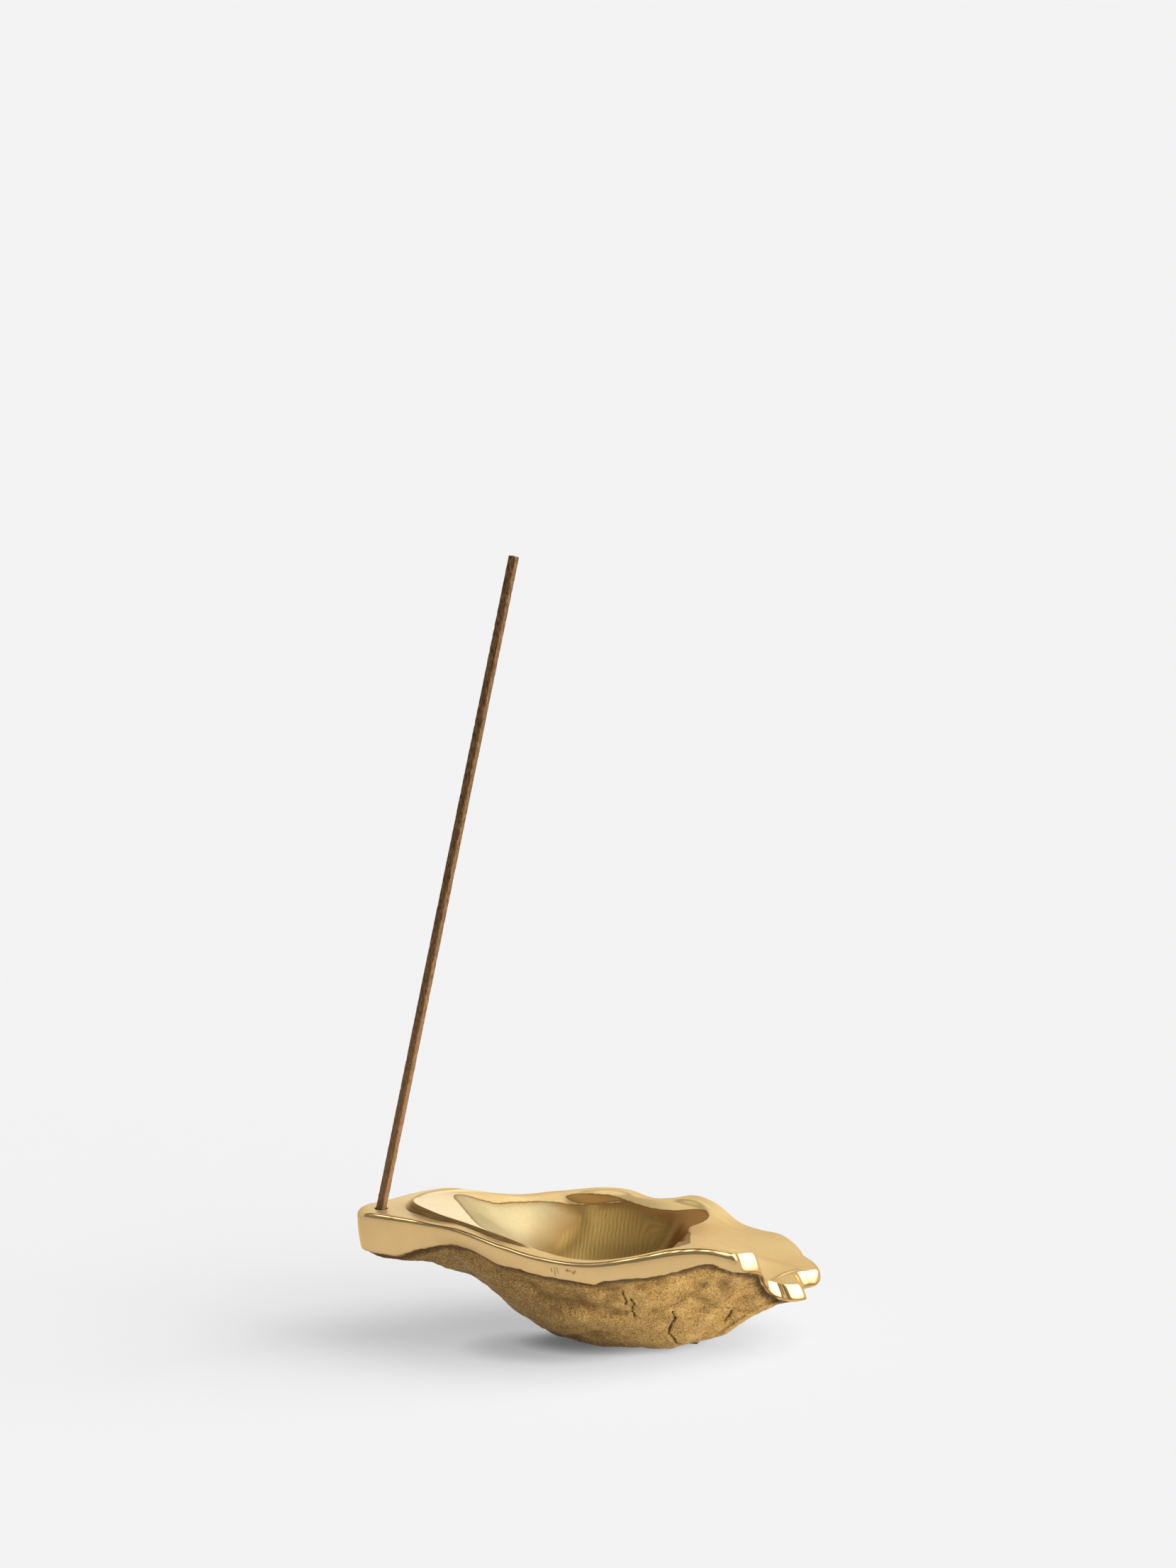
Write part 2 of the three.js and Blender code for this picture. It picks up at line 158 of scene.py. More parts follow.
# Sections of the top by direction in degrees: radius and width of the riser, its height, radius and
# height of the bowl's edge, power of the bowl's wall, and how far the rim's edge is rounded in and down
TOPS = np.array([
    (2, 46.0, 1.2, 0.0, 21.0, 24.0, 2.2, 1.4, 2.0),
    (18, 42.0, 1.2, 0.0, 22.8, 23.0, 2.2, 1.3, 1.2),
    (35, 37.5, 1.0, 0.0, 26.5, 22.4, 2.2, 1.6, 1.3),
    (45, 35.6, 1.0, 0.0, 28.5, 22.8, 2.2, 1.6, 1.3),
    (58, 32.0, 0.6, 0.0, 27.0, 23.2, 2.2, 1.6, 1.3),
    (77, 28.6, 0.6, 0.0, 25.0, 24.1, 2.2, 1.6, 1.3),
    (100, 26.8, 0.4, 0.0, 23.0, 25.0, 2.1, 1.6, 1.3),
    (120, 25.8, 0.4, 0.0, 22.8, 26.2, 1.9, 1.6, 1.3),
    (137, 27.0, 0.6, 0.0, 24.4, 27.2, 1.6, 1.8, 1.6),
    (156, 32.5, 1.0, 0.0, 29.0, 29.8, 1.3, 1.8, 1.6),
    (166, 39.6, 2.4, 0.0, 34.0, 31.8, 1.15, 1.6, 1.6),
    (173, 44.6, 2.4, 0.5, 34.8, 31.8, 1.1, 1.6, 1.7),
    (180, 46.6, 2.2, 1.6, 33.2, 31.5, 1.1, 1.6, 1.9),
    (187, 45.6, 1.4, 2.0, 30.6, 31.2, 1.15, 1.4, 1.9),
    (193, 42.4, 0.9, 1.7, 29.0, 30.9, 1.2, 1.1, 1.5),
    (204, 38.1, 0.6, 1.2, 27.0, 29.8, 1.4, 0.9, 1.3),
    (214, 35.6, 0.5, 1.3, 26.2, 28.8, 1.6, 0.9, 1.2),
    (226, 33.4, 0.5, 1.55, 26.3, 27.6, 1.9, 0.9, 1.2),
    (233, 31.6, 0.5, 0.95, 27.0, 27.0, 2.1, 0.9, 1.2),
    (240, 30.2, 0.5, 0.3, 27.6, 26.3, 2.3, 0.9, 1.2),
    (247, 29.8, 0.4, 0.0, 28.0, 25.9, 2.4, 0.9, 1.2),
    (270, 30.9, 0.3, 0.0, 29.9, 25.6, 3.0, 1.0, 1.5),
    (296, 33.6, 0.3, 0.0, 32.0, 28.4, 3.0, 1.2, 1.9),
    (311, 35.4, 0.4, 0.0, 27.5, 28.4, 2.6, 1.3, 2.2),
    (318, 36.8, 0.5, 0.0, 25.0, 27.6, 2.5, 1.5, 3.0),
    (323, 38.0, 0.9, 0.0, 23.4, 26.8, 2.4, 1.6, 4.2),
    (340, 42.4, 1.0, 0.2, 21.5, 25.0, 2.3, 1.6, 3.6),
    (350, 44.6, 1.0, 0.5, 21.0, 24.4, 2.2, 1.6, 3.6),
    (356, 47.8, 1.0, 0.25, 21.0, 24.2, 2.2, 1.6, 3.4),
])

# Sections of the rough underside by direction: heights at 3/4, 1/2 and 1/4 of the way from the
# foot to the band, as shares of the height of the band's lower edge
SKINS = np.array([
    (0, 0.92, 0.69, 0.27),
    (20, 0.83, 0.6, 0.27),
    (45, 0.68, 0.42, 0.17),
    (90, 0.66, 0.36, 0.14),
    (135, 0.71, 0.42, 0.17),
    (160, 0.83, 0.58, 0.25),
    (180, 0.98, 0.9, 0.42),
    (192, 0.9, 0.68, 0.29),
    (205, 0.72, 0.42, 0.16),
    (226, 0.65, 0.36, 0.14),
    (248, 0.63, 0.33, 0.125),
    (270, 0.65, 0.36, 0.13),
    (300, 0.62, 0.33, 0.12),
    (322, 0.6, 0.31, 0.11),
    (340, 0.83, 0.5, 0.19),
])

# Hollows of the top: middle direction, half the arc, radius, half width and depth, and for the
# crease half width and depth
RECESS = (95.0, 21.0, 25.9, 1.3, 0.4)
TONGUE = (41.0, 13.0, 29.0, 4.0, 0.08)
CREASE_HOLLOW = (1.6, 0.3)

# Lines drawn in plan on the top
CREASE = [
    (-15.6, 22.9), (-14.1, 22.6), (-12.7, 22.2), (-12.4, 21.0), (-13.1, 19.5), (-15.1, 16.7),
    (-16.8, 14.1), (-18.5, 11.6), (-20.0, 5.0), (-19.5, -3.0), (-17.0, -9.0), (-13.0, -15.0),
]
BOWL_OUTLINE = [
    (-43.0, 7.5), (-41.5, 2.0), (-38.9, -8.0), (-35.5, -17.6), (-32.4, -20.0), (-28.8, -22.0),
    (-21.0, -25.0), (-12.0, -27.6), (-3.0, -28.6), (6.0, -27.6), (11.5, -22.0), (12.8, -10.0),
    (13.1, -1.6), (13.3, 6.0), (12.9, 12.2), (13.6, 14.4), (15.6, 17.1), (17.5, 20.0),
    (18.3, 22.3), (17.6, 23.6), (15.9, 24.1), (13.1, 23.7), (9.7, 23.8), (6.2, 24.6),
    (3.5, 25.3), (0.2, 26.2), (-1.8, 26.5), (-4.1, 26.0), (-6.7, 25.4), (-11.0, 24.1),
    (-15.3, 22.7), (-19.6, 21.0), (-23.0, 19.6), (-28.6, 16.1), (-32.8, 12.6), (-36.2, 11.1),
    (-40.4, 9.4),
]
RIPPLE_OUTLINE = [
    (-12.6, 22.6), (-7.5, 24.3), (-2.4, 25.4), (3.7, 24.0), (7.4, 21.8), (9.6, 18.2),
    (10.2, 11.0), (9.6, 2.0), (8.6, -8.0), (4.0, -18.0), (-4.0, -24.0), (-13.0, -24.0),
    (-13.0, -15.0), (-17.0, -9.0), (-20.0, 0.0), (-20.0, 9.0), (-17.5, 16.0), (-13.6, 20.0),
]
# How far the ripples' planes lean to the right as they rise, and where they start to bend: the
# stretch in X over which the bend grows, and its height, in metres
RIPPLE_LEAN = 0.14
RIPPLE_BEND = (1 * MM, 11 * MM)
RIPPLE_BEND_HEIGHT = 15 * MM

RECESS_OUTLINE = [
    (-16.4, 23.9), (-14.3, 25.5), (-11.9, 26.4), (-9.3, 26.9), (-5.8, 27.2), (-3.6, 27.0),
    (-1.6, 26.6), (-4.4, 26.3), (-6.7, 25.65), (-9.3, 24.8), (-11.9, 24.1), (-14.1, 23.7),
]

# Marks on the near side of the underside, drawn in x and z as seen from the front
CRACKS = [
    [(-3.0, 18.6), (-2.6, 17.2), (-2.2, 15.1)],
    [(-1.4, 16.6), (-0.5, 15.2), (-0.8, 13.7), (-0.2, 12.2), (0.1, 10.9)],
    [(8.7, 12.5), (9.4, 10.3), (8.9, 9.2), (8.4, 8.0), (7.9, 6.4), (8.0, 5.7), (9.3, 4.2), (10.7, 2.4)],
    [(23.0, 9.9), (22.3, 8.7), (21.3, 7.1)],
]
FOLDS = [
    [(8.6, 14.0), (10.6, 15.2), (12.7, 16.7)],
    [(15.8, 14.3), (18.2, 12.9), (20.9, 11.4), (24.0, 10.3), (27.4, 9.6)],
]
# Hollow: x, z, half length, half height, slope of its long axis, depth
HOLLOWS = [
    (-8.0, 20.0, 6.0, 1.9, -0.45, 1.3),
    (-10.5, 13.6, 8.5, 1.7, -0.2, 1.3),
    (3.0, 20.5, 7.0, 1.2, 0.25, 0.6),
    (14.0, 19.0, 5.0, 2.4, 0.1, 0.7),
    (22.0, 18.0, 4.0, 1.6, -0.3, 0.6),
    (-26.0, 19.5, 5.0, 1.8, -0.55, 0.8),
    (-38.0, 23.5, 6.0, 1.4, -0.35, 0.6),
    # Swellings are hollows with a depth below zero
    (9.0, 2.5, 8.0, 3.0, 0.1, -1.3),
    (25.0, 9.0, 6.0, 3.0, 0.8, -0.9),
    (-3.0, 17.0, 9.0, 1.6, -0.35, -0.5),
    (-9.0, 10.5, 8.0, 1.6, -0.15, -0.5),
    (-33.0, 17.0, 8.0, 3.0, -0.9, -0.9),
]
# Pits in the polished band on the near side: x, z and half width
BAND_PITS = [(-15.9, 25.0, 0.32), (-15.2, 24.9, 0.2), (-14.4, 24.5, 0.34), (-14.1, 24.9, 0.22)]
SCRATCHES = [
    [(-18.9, 25.6), (-18.6, 23.4)],
    [(-18.2, 25.4), (-18.0, 24.0)],
    [(-19.6, 25.2), (-19.4, 24.3)],
]
# Half widths of the cracks, folds and scratches
CRACK_WIDTH = 0.3
FOLD_WIDTH = 0.5
SCRATCH_WIDTH = 0.14

# A distance that counts as far from every line
FAR = 9.0

# Rings in each zone of the casting
EDGE_RINGS = 14
LEDGE_RINGS = 14
RISER_RINGS = 8
DECK_RINGS = 44
BOWL_RINGS = 84
BAND_RINGS = 20
SKIN_RINGS = 100
FOOT_RINGS = 24


def smoothstep(low, high, value):
    """Rises smoothly from 0 at low to 1 at high."""
    share = np.clip((value - low) / (high - low), 0, 1)
    return share * share * (3 - 2 * share)


def within(direction, start, end):
    """1 inside a stretch of directions and 0 outside it, smooth between."""
    return smoothstep(*start, direction) * smoothstep(*end, direction)


def shares(count, last=True):
    """Even shares of the way, up to its end or to the step before it."""
    return [k / count for k in range(1, count + last)]


def closed_curve(stations, place):
    """Smooth closed curve through stations, spaced by the root of their distance."""
    count = len(stations)
    index = np.floor(place).astype(int) % count
    share = (place - np.floor(place))[:, None]
    p, q, r, s = (stations[(index + k) % count] for k in (-1, 0, 1, 2))
    before, here, after = (
        np.sqrt(np.maximum(np.linalg.norm(b[:, :3] - a[:, :3], axis=1), 1e-6))[:, None]
        for a, b in ((p, q), (q, r), (r, s))
    )
    slope_in = ((q - p) / before - (r - p) / (before + here) + (r - q) / here) * here
    slope_out = ((r - q) / here - (s - q) / (here + after) + (s - r) / after) * here
    return hermite(q, r, slope_in, slope_out, share)


def hermite(start, end, slope_in, slope_out, share):
    """Value between start and end, with slopes given for the whole interval."""
    s2 = share * share
    s3 = s2 * share
    from_start = (2 * s3 - 3 * s2 + 1) * start + (s3 - 2 * s2 + share) * slope_in
    return from_start + (3 * s2 - 2 * s3) * end + (s3 - s2) * slope_out


def by_direction(table, degrees):
    """Columns of a table of sections at directions, with the table closed on itself."""
    count = len(table)
    index = np.searchsorted(table[:, 0], degrees % 360, side="right") - 1
    turn = degrees % 360
    rows = [index + k for k in (-1, 0, 1, 2)]
    x0, x1, x2, x3 = (table[row % count, 0] + 360 * (row // count) for row in rows)
    p, q, r, s = (table[row % count, 1:] for row in rows)
    before, here, after = (gap[:, None] for gap in (x1 - x0, x2 - x1, x3 - x2))
    left, middle, right = (q - p) / before, (r - q) / here, (s - r) / after
    slope_in = (left * here + middle * before) / (here + before) * here
    slope_out = (middle * after + right * here) / (here + after) * here
    return hermite(q, r, slope_in, slope_out, (turn - x1)[:, None] / here).T


def smooth_round(values, width):
    """Values round the rim, softened over a few neighbours on each side."""
    reach = np.arange(-3 * width, 3 * width + 1)
    weight = np.exp(-((reach / width) ** 2))
    return sum(w * np.roll(values, k) for k, w in zip(reach, weight)) / weight.sum()


def eased_slope(one, other):
    """Harmonic mean of two slopes that agree in sign, or a level place where they don't."""
    return np.where(one * other > 0, 2 * one * other / (one + other + 1e-12), 0)


def foot_radius(cosine, sine):
    """Distance from the bowl's centre to the foot's ellipse."""
    a = (cosine / FOOT_HALF_LENGTH) ** 2 + (sine / FOOT_HALF_WIDTH) ** 2
    b = 2 * (CENTRE[0] * cosine / FOOT_HALF_LENGTH**2 + CENTRE[1] * sine / FOOT_HALF_WIDTH**2)
    c = (CENTRE[0] / FOOT_HALF_LENGTH) ** 2 + (CENTRE[1] / FOOT_HALF_WIDTH) ** 2 - 1
    return (-b + np.sqrt(b * b - 4 * a * c)) / (2 * a)


def segment_distance(x, y, line):
    """Distance from points in plan to an open line of points."""
    nearest = np.full(np.shape(x), 1e9)
    for (ax, ay), (bx, by) in zip(line[:-1], line[1:]):
        length = (bx - ax) ** 2 + (by - ay) ** 2
        share = np.clip(((x - ax) * (bx - ax) + (y - ay) * (by - ay)) / length, 0, 1)
        gap = np.hypot(x - ax - share * (bx - ax), y - ay - share * (by - ay))
        nearest = np.minimum(nearest, gap)
    return nearest


def outline_distance(x, y, outline, steps=6):
    """Distance from points in plan to a smooth closed outline, negative inside it."""
    corners = np.array(outline, float)
    place = np.arange(len(corners) * steps) / steps
    curve = closed_curve(corners, place)
    nearest = segment_distance(x, y, [*map(tuple, curve), tuple(curve[0])])
    inside = np.zeros(np.shape(x), bool)
    for (ax, ay), (bx, by) in zip(curve, np.roll(curve, -1, axis=0)):
        crosses = (ay > y) != (by > y)
        inside ^= crosses & (x < (bx - ax) * (y - ay) / (by - ay + 1e-12) + ax)
    return np.where(inside, -nearest, nearest)


def rim_columns(count):
    """Places along the rim's table, evenly spaced along its length."""
    fine = np.arange(len(RIM) * 40 + 1) / 40
    points = closed_curve(RIM, fine)[:, :2]
    run = np.concatenate([[0], np.cumsum(np.linalg.norm(np.diff(points, axis=0), axis=1))])
    return np.interp(np.arange(count) * run[-1] / count, run, fine)


def hollows(direction, radius, x, y):
    """Height that the top's hollows and the bowl's crease take away."""
    lowered = 0
    for middle, half_arc, place, half_width, depth in (RECESS, TONGUE):
        along = np.clip(1 - ((direction - middle) / half_arc) ** 2, 0, 1)
        lowered = lowered + depth * along * np.exp(-(((radius - place) / half_width) ** 2))
    half_width, depth = CREASE_HOLLOW
    return lowered + depth * np.exp(-((segment_distance(x, y, CREASE) / half_width) ** 2))


def shell_rings(columns):
    """Zones of the casting from the bowl over the rim to the foot, each as rings of (radius, height)."""
    x, y, crest, band = closed_curve(RIM, rim_columns(columns)).T
    radius = np.hypot(x - CENTRE[0], y - CENTRE[1])
    cosine, sine = (x - CENTRE[0]) / radius, (y - CENTRE[1]) / radius
    direction = np.degrees(np.arctan2(sine, cosine)) % 360
    soft = max(1, columns // 220)
    sections = [smooth_round(v, soft) for v in by_direction(TOPS, direction)]
    riser, riser_width, step, edge, edge_height, power, round_in, round_down = sections
    round_in = np.minimum(round_in, 0.9 * (radius - riser))
    zones = {}

    # The rounded edge, the ledge inside it and the riser
    facet = 1 + FACET_FLATNESS * within(direction, *FACETS)
    zones["edge"] = [
        (radius - round_in * (1 - math.cos(a) ** facet), crest - round_down * (1 - math.sin(a) ** facet))
        for a in np.linspace(0, math.pi / 2, EDGE_RINGS)
    ]
    inner = radius - round_in
    tilt = LEDGE_RISE * within(direction, *LEDGE)
    calm = smooth_round(crest, max(1, columns // 60)) + tilt
    step = np.maximum(step - tilt, 0)
    zones["ledge"] = [
        (inner + (riser - inner) * share, crest + (calm - crest) * share)
        for share in shares(LEDGE_RINGS)
    ]
    zones["riser"] = [
        (riser - riser_width * share, calm + step * (3 - 2 * share) * share**2)
        for share in shares(RISER_RINGS)
    ]

    # The deck falls nearly evenly, from a gentle start to the bowl's edge
    top, inward = calm + step, riser - riser_width
    deck = inward - edge
    shoulder_width = (1 - SHOULDER_SHARE) * edge
    rise = edge_height - FLOOR_HEIGHT
    shoulder = FLOOR_HEIGHT + rise * SHOULDER_SHARE**power
    edge_slope = eased_slope((top - edge_height) / deck, (edge_height - shoulder) / shoulder_width)
    wall_slope = rise * power / edge * SHOULDER_SHARE ** (power - 1)
    fall = np.maximum(top - edge_height, 0)
    edge_slope = np.minimum(edge_slope, 1.3 * fall / deck)
    calm_top = smooth_round(top, max(1, columns // 30))
    zones["deck"] = []
    for share in shares(DECK_RINGS):
        start = top + (calm_top - top) * smoothstep(0, 12 / DECK_RINGS, share)
        height = hermite(start, edge_height, -0.6 * fall, -edge_slope * deck, share)
        zones["deck"].append((inward - deck * share, height))

    # The bowl's rolled edge and wall, whose bottom is one round dish in every section
    slopes = (-edge_slope * shoulder_width, -wall_slope * shoulder_width)
    zones["bowl"] = []
    for gone in shares(BOWL_RINGS, last=False):
        share = 1 - gone
        down = (1 - share) / (1 - SHOULDER_SHARE)
        rolled = hermite(edge_height, shoulder, *slopes, down)
        height = rolled if down < 1 else FLOOR_HEIGHT + rise * share**power
        dish = FLOOR_HEIGHT + DISH_RISE * (share / DISH_SHARE) ** 2
        height = dish + (height - dish) * smoothstep(0.08, DISH_SHARE, share)
        zones["bowl"].append((edge * share, height))

    # The band, the skin under it and the flat foot
    band_top = crest - round_down
    zones["band"] = [
        (radius - BAND_LEAN * share**2, band_top + (band - band_top) * share)
        for share in shares(BAND_RINGS)
    ]
    foot = foot_radius(cosine, sine)
    levels = [0 * band, *reversed(by_direction(SKINS, direction)), 1 + 0 * band]
    heights = [level * band for level in levels]
    rises = [heights[k + 1] - heights[k] for k in range(4)]
    slopes = [0.6 * rises[0], *(eased_slope(rises[k - 1], rises[k]) for k in (1, 2, 3)), 1.2 * rises[3]]
    hinge = within(direction, *HINGE)
    zones["skin"] = []
    for gone in shares(SKIN_RINGS):
        share = 1 - gone
        k = min(int(share * 4), 3)
        height = hermite(heights[k], heights[k + 1], slopes[k], slopes[k + 1], share * 4 - k)
        hang = SKIN_HANG * hinge * smoothstep(1.0, 0.96, share) * smoothstep(0.1, 0.6, share)
        reach = foot + (radius - BAND_LEAN - foot) * share
        zones["skin"].append((reach, np.maximum(height - hang, 0)))
    zones["foot"] = [(foot * (1 - share), 0 * foot) for share in shares(FOOT_RINGS, last=False)]

    for name in ("edge", "ledge", "riser", "deck", "bowl"):
        zones[name] = [
            (r, z - hollows(direction, r, CENTRE[0] + cosine * r, CENTRE[1] + sine * r))
            for r, z in zones[name]
        ]
    return zones, cosine, sine, direction


def grid_normals(points):
    """Unit normals, pointing out, of a grid of rings by columns that is closed round the columns."""
    along_ring = np.roll(points, -1, axis=1) - np.roll(points, 1, axis=1)
    across = np.gradient(points, axis=0)
    normal = np.cross(across, along_ring)
    return normal / np.maximum(np.linalg.norm(normal, axis=2, keepdims=True), 1e-9)


def field(points, scales, octaves=3, seed=0.0):
    """Fractal noise at points, with one length of change for each axis."""
    sx, sy, sz = scales
    return np.array(
        [noise.fractal(Vector((x / sx + seed, y / sy, z / sz)), 1.0, 2.0, octaves) for x, y, z in points]
    )


def pit_field(points, spacing, seed):
    """Depth share of scattered round pits, from 0 to 1."""
    depth = np.zeros(len(points))
    for k, (x, y, z) in enumerate(points):
        place = Vector((x / spacing + seed, y / spacing, z / spacing))
        gaps, centres = noise.voronoi(place)
        size = 0.08 + 0.16 * abs(noise.noise(centres[0] * 3.7))
        if noise.noise(centres[0] * 1.9) > 0.02:
            depth[k] = max(0.0, 1 - gaps[0] / size)
    return depth


def colour_setting(name, description, code):
    """A colour that can be changed in the panel."""
    return FloatVectorProperty(name=name, description=description, default=colour(code), subtype="COLOR")


def length_setting(name, description, millimetres):
    """A length that can be changed in the panel."""
    return FloatProperty(name=name, description=description, default=millimetres * MM, unit="LENGTH")


def angle_setting(name, description, degrees):
    """An angle that can be changed in the panel."""
    angle = math.radians(degrees)
    return FloatProperty(name=name, description=description, default=angle, subtype="ANGLE")


def number_setting(name, description, value, **limits):
    """A number, not below zero, that can be changed in the panel."""
    return FloatProperty(name=name, description=description, default=value, min=0, **limits)


class HolderShell(bpy.types.PropertyGroup):
    """Sizes and colours of the brass casting."""

    columns: IntProperty(name="Columns", description="Sections round the rim", default=1000, min=200)
    lump_height: length_setting("Lump height", "Height of the cast skin's lumps", 0.62)
    pit_depth: length_setting("Pit depth", "Depth of the cast skin's pits", 0.35)
    crack_depth: length_setting("Crack depth", "Depth of the cracks in the skin", 0.55)
    ripple_spacing: length_setting("Ripple spacing", "Distance between the tool marks", 0.95)
    polished: colour_setting("Polished brass", "Deck and far rim", "DDBF85")
    band: colour_setting("Band brass", "Rim's edge and outer band", "DFBB82")
    glancing: colour_setting("Glancing tint", "Brass seen at a low angle", "FFEBCB")
    brushed: colour_setting("Brushed brass", "Sandy part of the bowl", "D0C59C")
    rippled: colour_setting("Rippled brass", "Tool-marked pocket", "A88A4E")
    # Brown of the smooth ring: partly tarnish, partly a painted dark reflection of the bowl's own wall
    browned: colour_setting("Browned brass", "Smooth brown ring", "8A6232")
    cast: colour_setting("Cast brass", "Rough underside", "F4C472")
    dark: colour_setting("Dark oxide", "Pits, cracks and edges of stains", "4A3118")


class HolderStick(bpy.types.PropertyGroup):
    """Sizes and colours of the incense stick."""

    side: length_setting("Side", "Side of the square section", 1.9)
    length: length_setting("Length", "Whole length", 165.6)
    roughness: length_setting("Surface unevenness", "Height of the grains", 0.045)
    dark: colour_setting("Dark grains", "Dark part of the paste", "3E2916")
    light: colour_setting("Light grains", "Light part of the paste", "85633F")


class HolderStage(bpy.types.PropertyGroup):
    """Floor, lamps and camera."""

    floor: colour_setting("Floor", "Pale seamless floor", "F0F0F0")
    key: number_setting("Key strength", "Large soft lamp on the right", 3.85)
    overhead: number_setting("Overhead strength", "Soft lamp above", 1.0)
    side: number_setting("Side strength", "Low lamp from the front right", 3.2)
    softness: angle_setting("Softness", "Angle that each lamp covers", 55)
    fill: number_setting("Fill", "Even light from all round", 0.06)
    shadow_lift: number_setting("Shadow lift", "Paleness that the floor's shadows keep", 0.53, max=1)
    # Painted shadow on the floor by the foot
    painted_contact_shadow: number_setting("Contact", "How much deeper the shadow is near the foot", 0.2)
    painted_foot_shadow: number_setting("Touch", "How much deeper it is still right at the foot", 0.22)
    # Painted shade on the floor as reflections see it
    front_dimming: number_setting("Front dimming", "How much darker the floor's front reflects", 0.18)
    room: number_setting("Room", "What reflections see of the dim room", 0.28)
    window: number_setting("Window", "What reflections see of the key lamp", 4.5)
    strip: number_setting("Strip", "What reflections see of the strip overhead", 2.6)
    lens: number_setting("Lens", "Focal length in millimetres", 100.0)
    pitch: angle_setting("Pitch", "How far the camera looks down", 10.7)


# Materials


def new_material(name):
    """An empty material, the wiring of its nodes and its shader."""
    material = bpy.data.materials.new(name)
    material.use_nodes = True
    return material, Wiring(material.node_tree), material.node_tree.nodes["Principled BSDF"]


class Wiring:
    """Short hand for adding and joining the nodes of one tree."""

    def __init__(self, tree):
        self.tree = tree

    def add(self, kind, **settings):
        node = self.tree.nodes.new(kind)
        for key, value in settings.items():
            setattr(node, key, value)
        return node

    def join(self, source, target):
        """Links a socket to the target, or gives the target a number or a colour."""
        if isinstance(source, (int, float)):
            target.default_value = source
        elif isinstance(source, tuple):
            whole = len(source) == len(target.default_value)
            target.default_value = source if whole else (*source, 1.0)
        else:
            self.tree.links.new(source, target)

    def maths(self, operation, one, two=None):
        node = self.add("ShaderNodeMath", operation=operation)
        self.join(one, node.inputs[0])
        if two is not None:
            self.join(two, node.inputs[1])
        return node.outputs[0]

    def times(self, one, two):
        return self.maths("MULTIPLY", one, two)

    def plus(self, one, two):
        return self.maths("ADD", one, two)

    def minus(self, one, two):
        return self.maths("SUBTRACT", one, two)

    def over(self, one, two):
        return self.maths("DIVIDE", one, two)

    def larger(self, one, two):
        return self.maths("MAXIMUM", one, two)

    def attribute(self, name):
        return self.add("ShaderNodeAttribute", attribute_name=name).outputs["Fac"]

    def step(self, value, low, high):
        """0 at low and 1 at high, smooth between."""
        node = self.add("ShaderNodeMapRange", interpolation_type="SMOOTHSTEP")
        self.join(value, node.inputs["Value"])
        node.inputs["From Min"].default_value = min(low, high)
        node.inputs["From Max"].default_value = max(low, high)
        node.inputs["To Min"].default_value = 0.0 if low < high else 1.0
        node.inputs["To Max"].default_value = 1.0 if low < high else 0.0
        return node.outputs["Result"]

    def blend(self, share, one, two):
        """Colour one at 0 and colour two at 1."""
        node = self.add("ShaderNodeMix", data_type="RGBA")
        self.join(share, node.inputs["Factor"])
        self.join(one, node.inputs[6])
        self.join(two, node.inputs[7])
        return node.outputs[2]

    def stain(self, tone, share, strength, code):
        """The tone with a colour over it, as strongly as share times strength."""
        return self.blend(self.times(share, strength), tone, colour(code))

    def between(self, share, one, two):
        """Number one at 0 and number two at 1."""
        node = self.add("ShaderNodeMix", data_type="FLOAT")
        self.join(share, node.inputs[0])
        self.join(one, node.inputs[2])
        self.join(two, node.inputs[3])
        return node.outputs[0]

    def place(self):
        return self.add("ShaderNodeTexCoord").outputs["Object"]

    def axes(self, vector):
        """X, Y and Z of a vector."""
        node = self.add("ShaderNodeSeparateXYZ")
        self.join(vector, node.inputs[0])
        return [node.outputs[axis] for axis in "XYZ"]

    def stretched(self, scale):
        node = self.add("ShaderNodeMapping")
        self.join(self.place(), node.inputs["Vector"])
        node.inputs["Scale"].default_value = scale
        return node.outputs["Vector"]

    def grain(self, scale, detail=3.0, roughness=0.55, vector=None):
        """Noise from 0 to 1, with the scale as its waves in a metre."""
        node = self.add("ShaderNodeTexNoise")
        self.join(self.place() if vector is None else vector, node.inputs["Vector"])
        self.join(scale, node.inputs["Scale"])
        node.inputs["Detail"].default_value = detail
        node.inputs["Roughness"].default_value = roughness
        return node.outputs["Fac"]

    def group(self, tree, **values):
        node = self.add("ShaderNodeGroup", node_tree=tree)
        for key, value in values.items():
            self.join(value, node.inputs[key.replace("_", " ")])
        return node.outputs

    def bump(self, height, distance):
        node = self.add("ShaderNodeBump")
        node.inputs["Strength"].default_value = 1.0
        node.inputs["Distance"].default_value = distance
        self.join(height, node.inputs["Height"])
        return node.outputs["Normal"]


def new_group(name, inputs, outputs):
    """Wiring, inputs and outputs of a new node group, whose inputs and outputs are numbers."""
    tree = bpy.data.node_groups.new(name, "ShaderNodeTree")
    for label, default in inputs.items():
        socket = tree.interface.new_socket(label, in_out="INPUT", socket_type="NodeSocketFloat")
        socket.default_value = default
    for label in outputs:
        tree.interface.new_socket(label, in_out="OUTPUT", socket_type="NodeSocketFloat")
    wiring = Wiring(tree)
    return wiring, wiring.add("NodeGroupInput").outputs, wiring.add("NodeGroupOutput").inputs


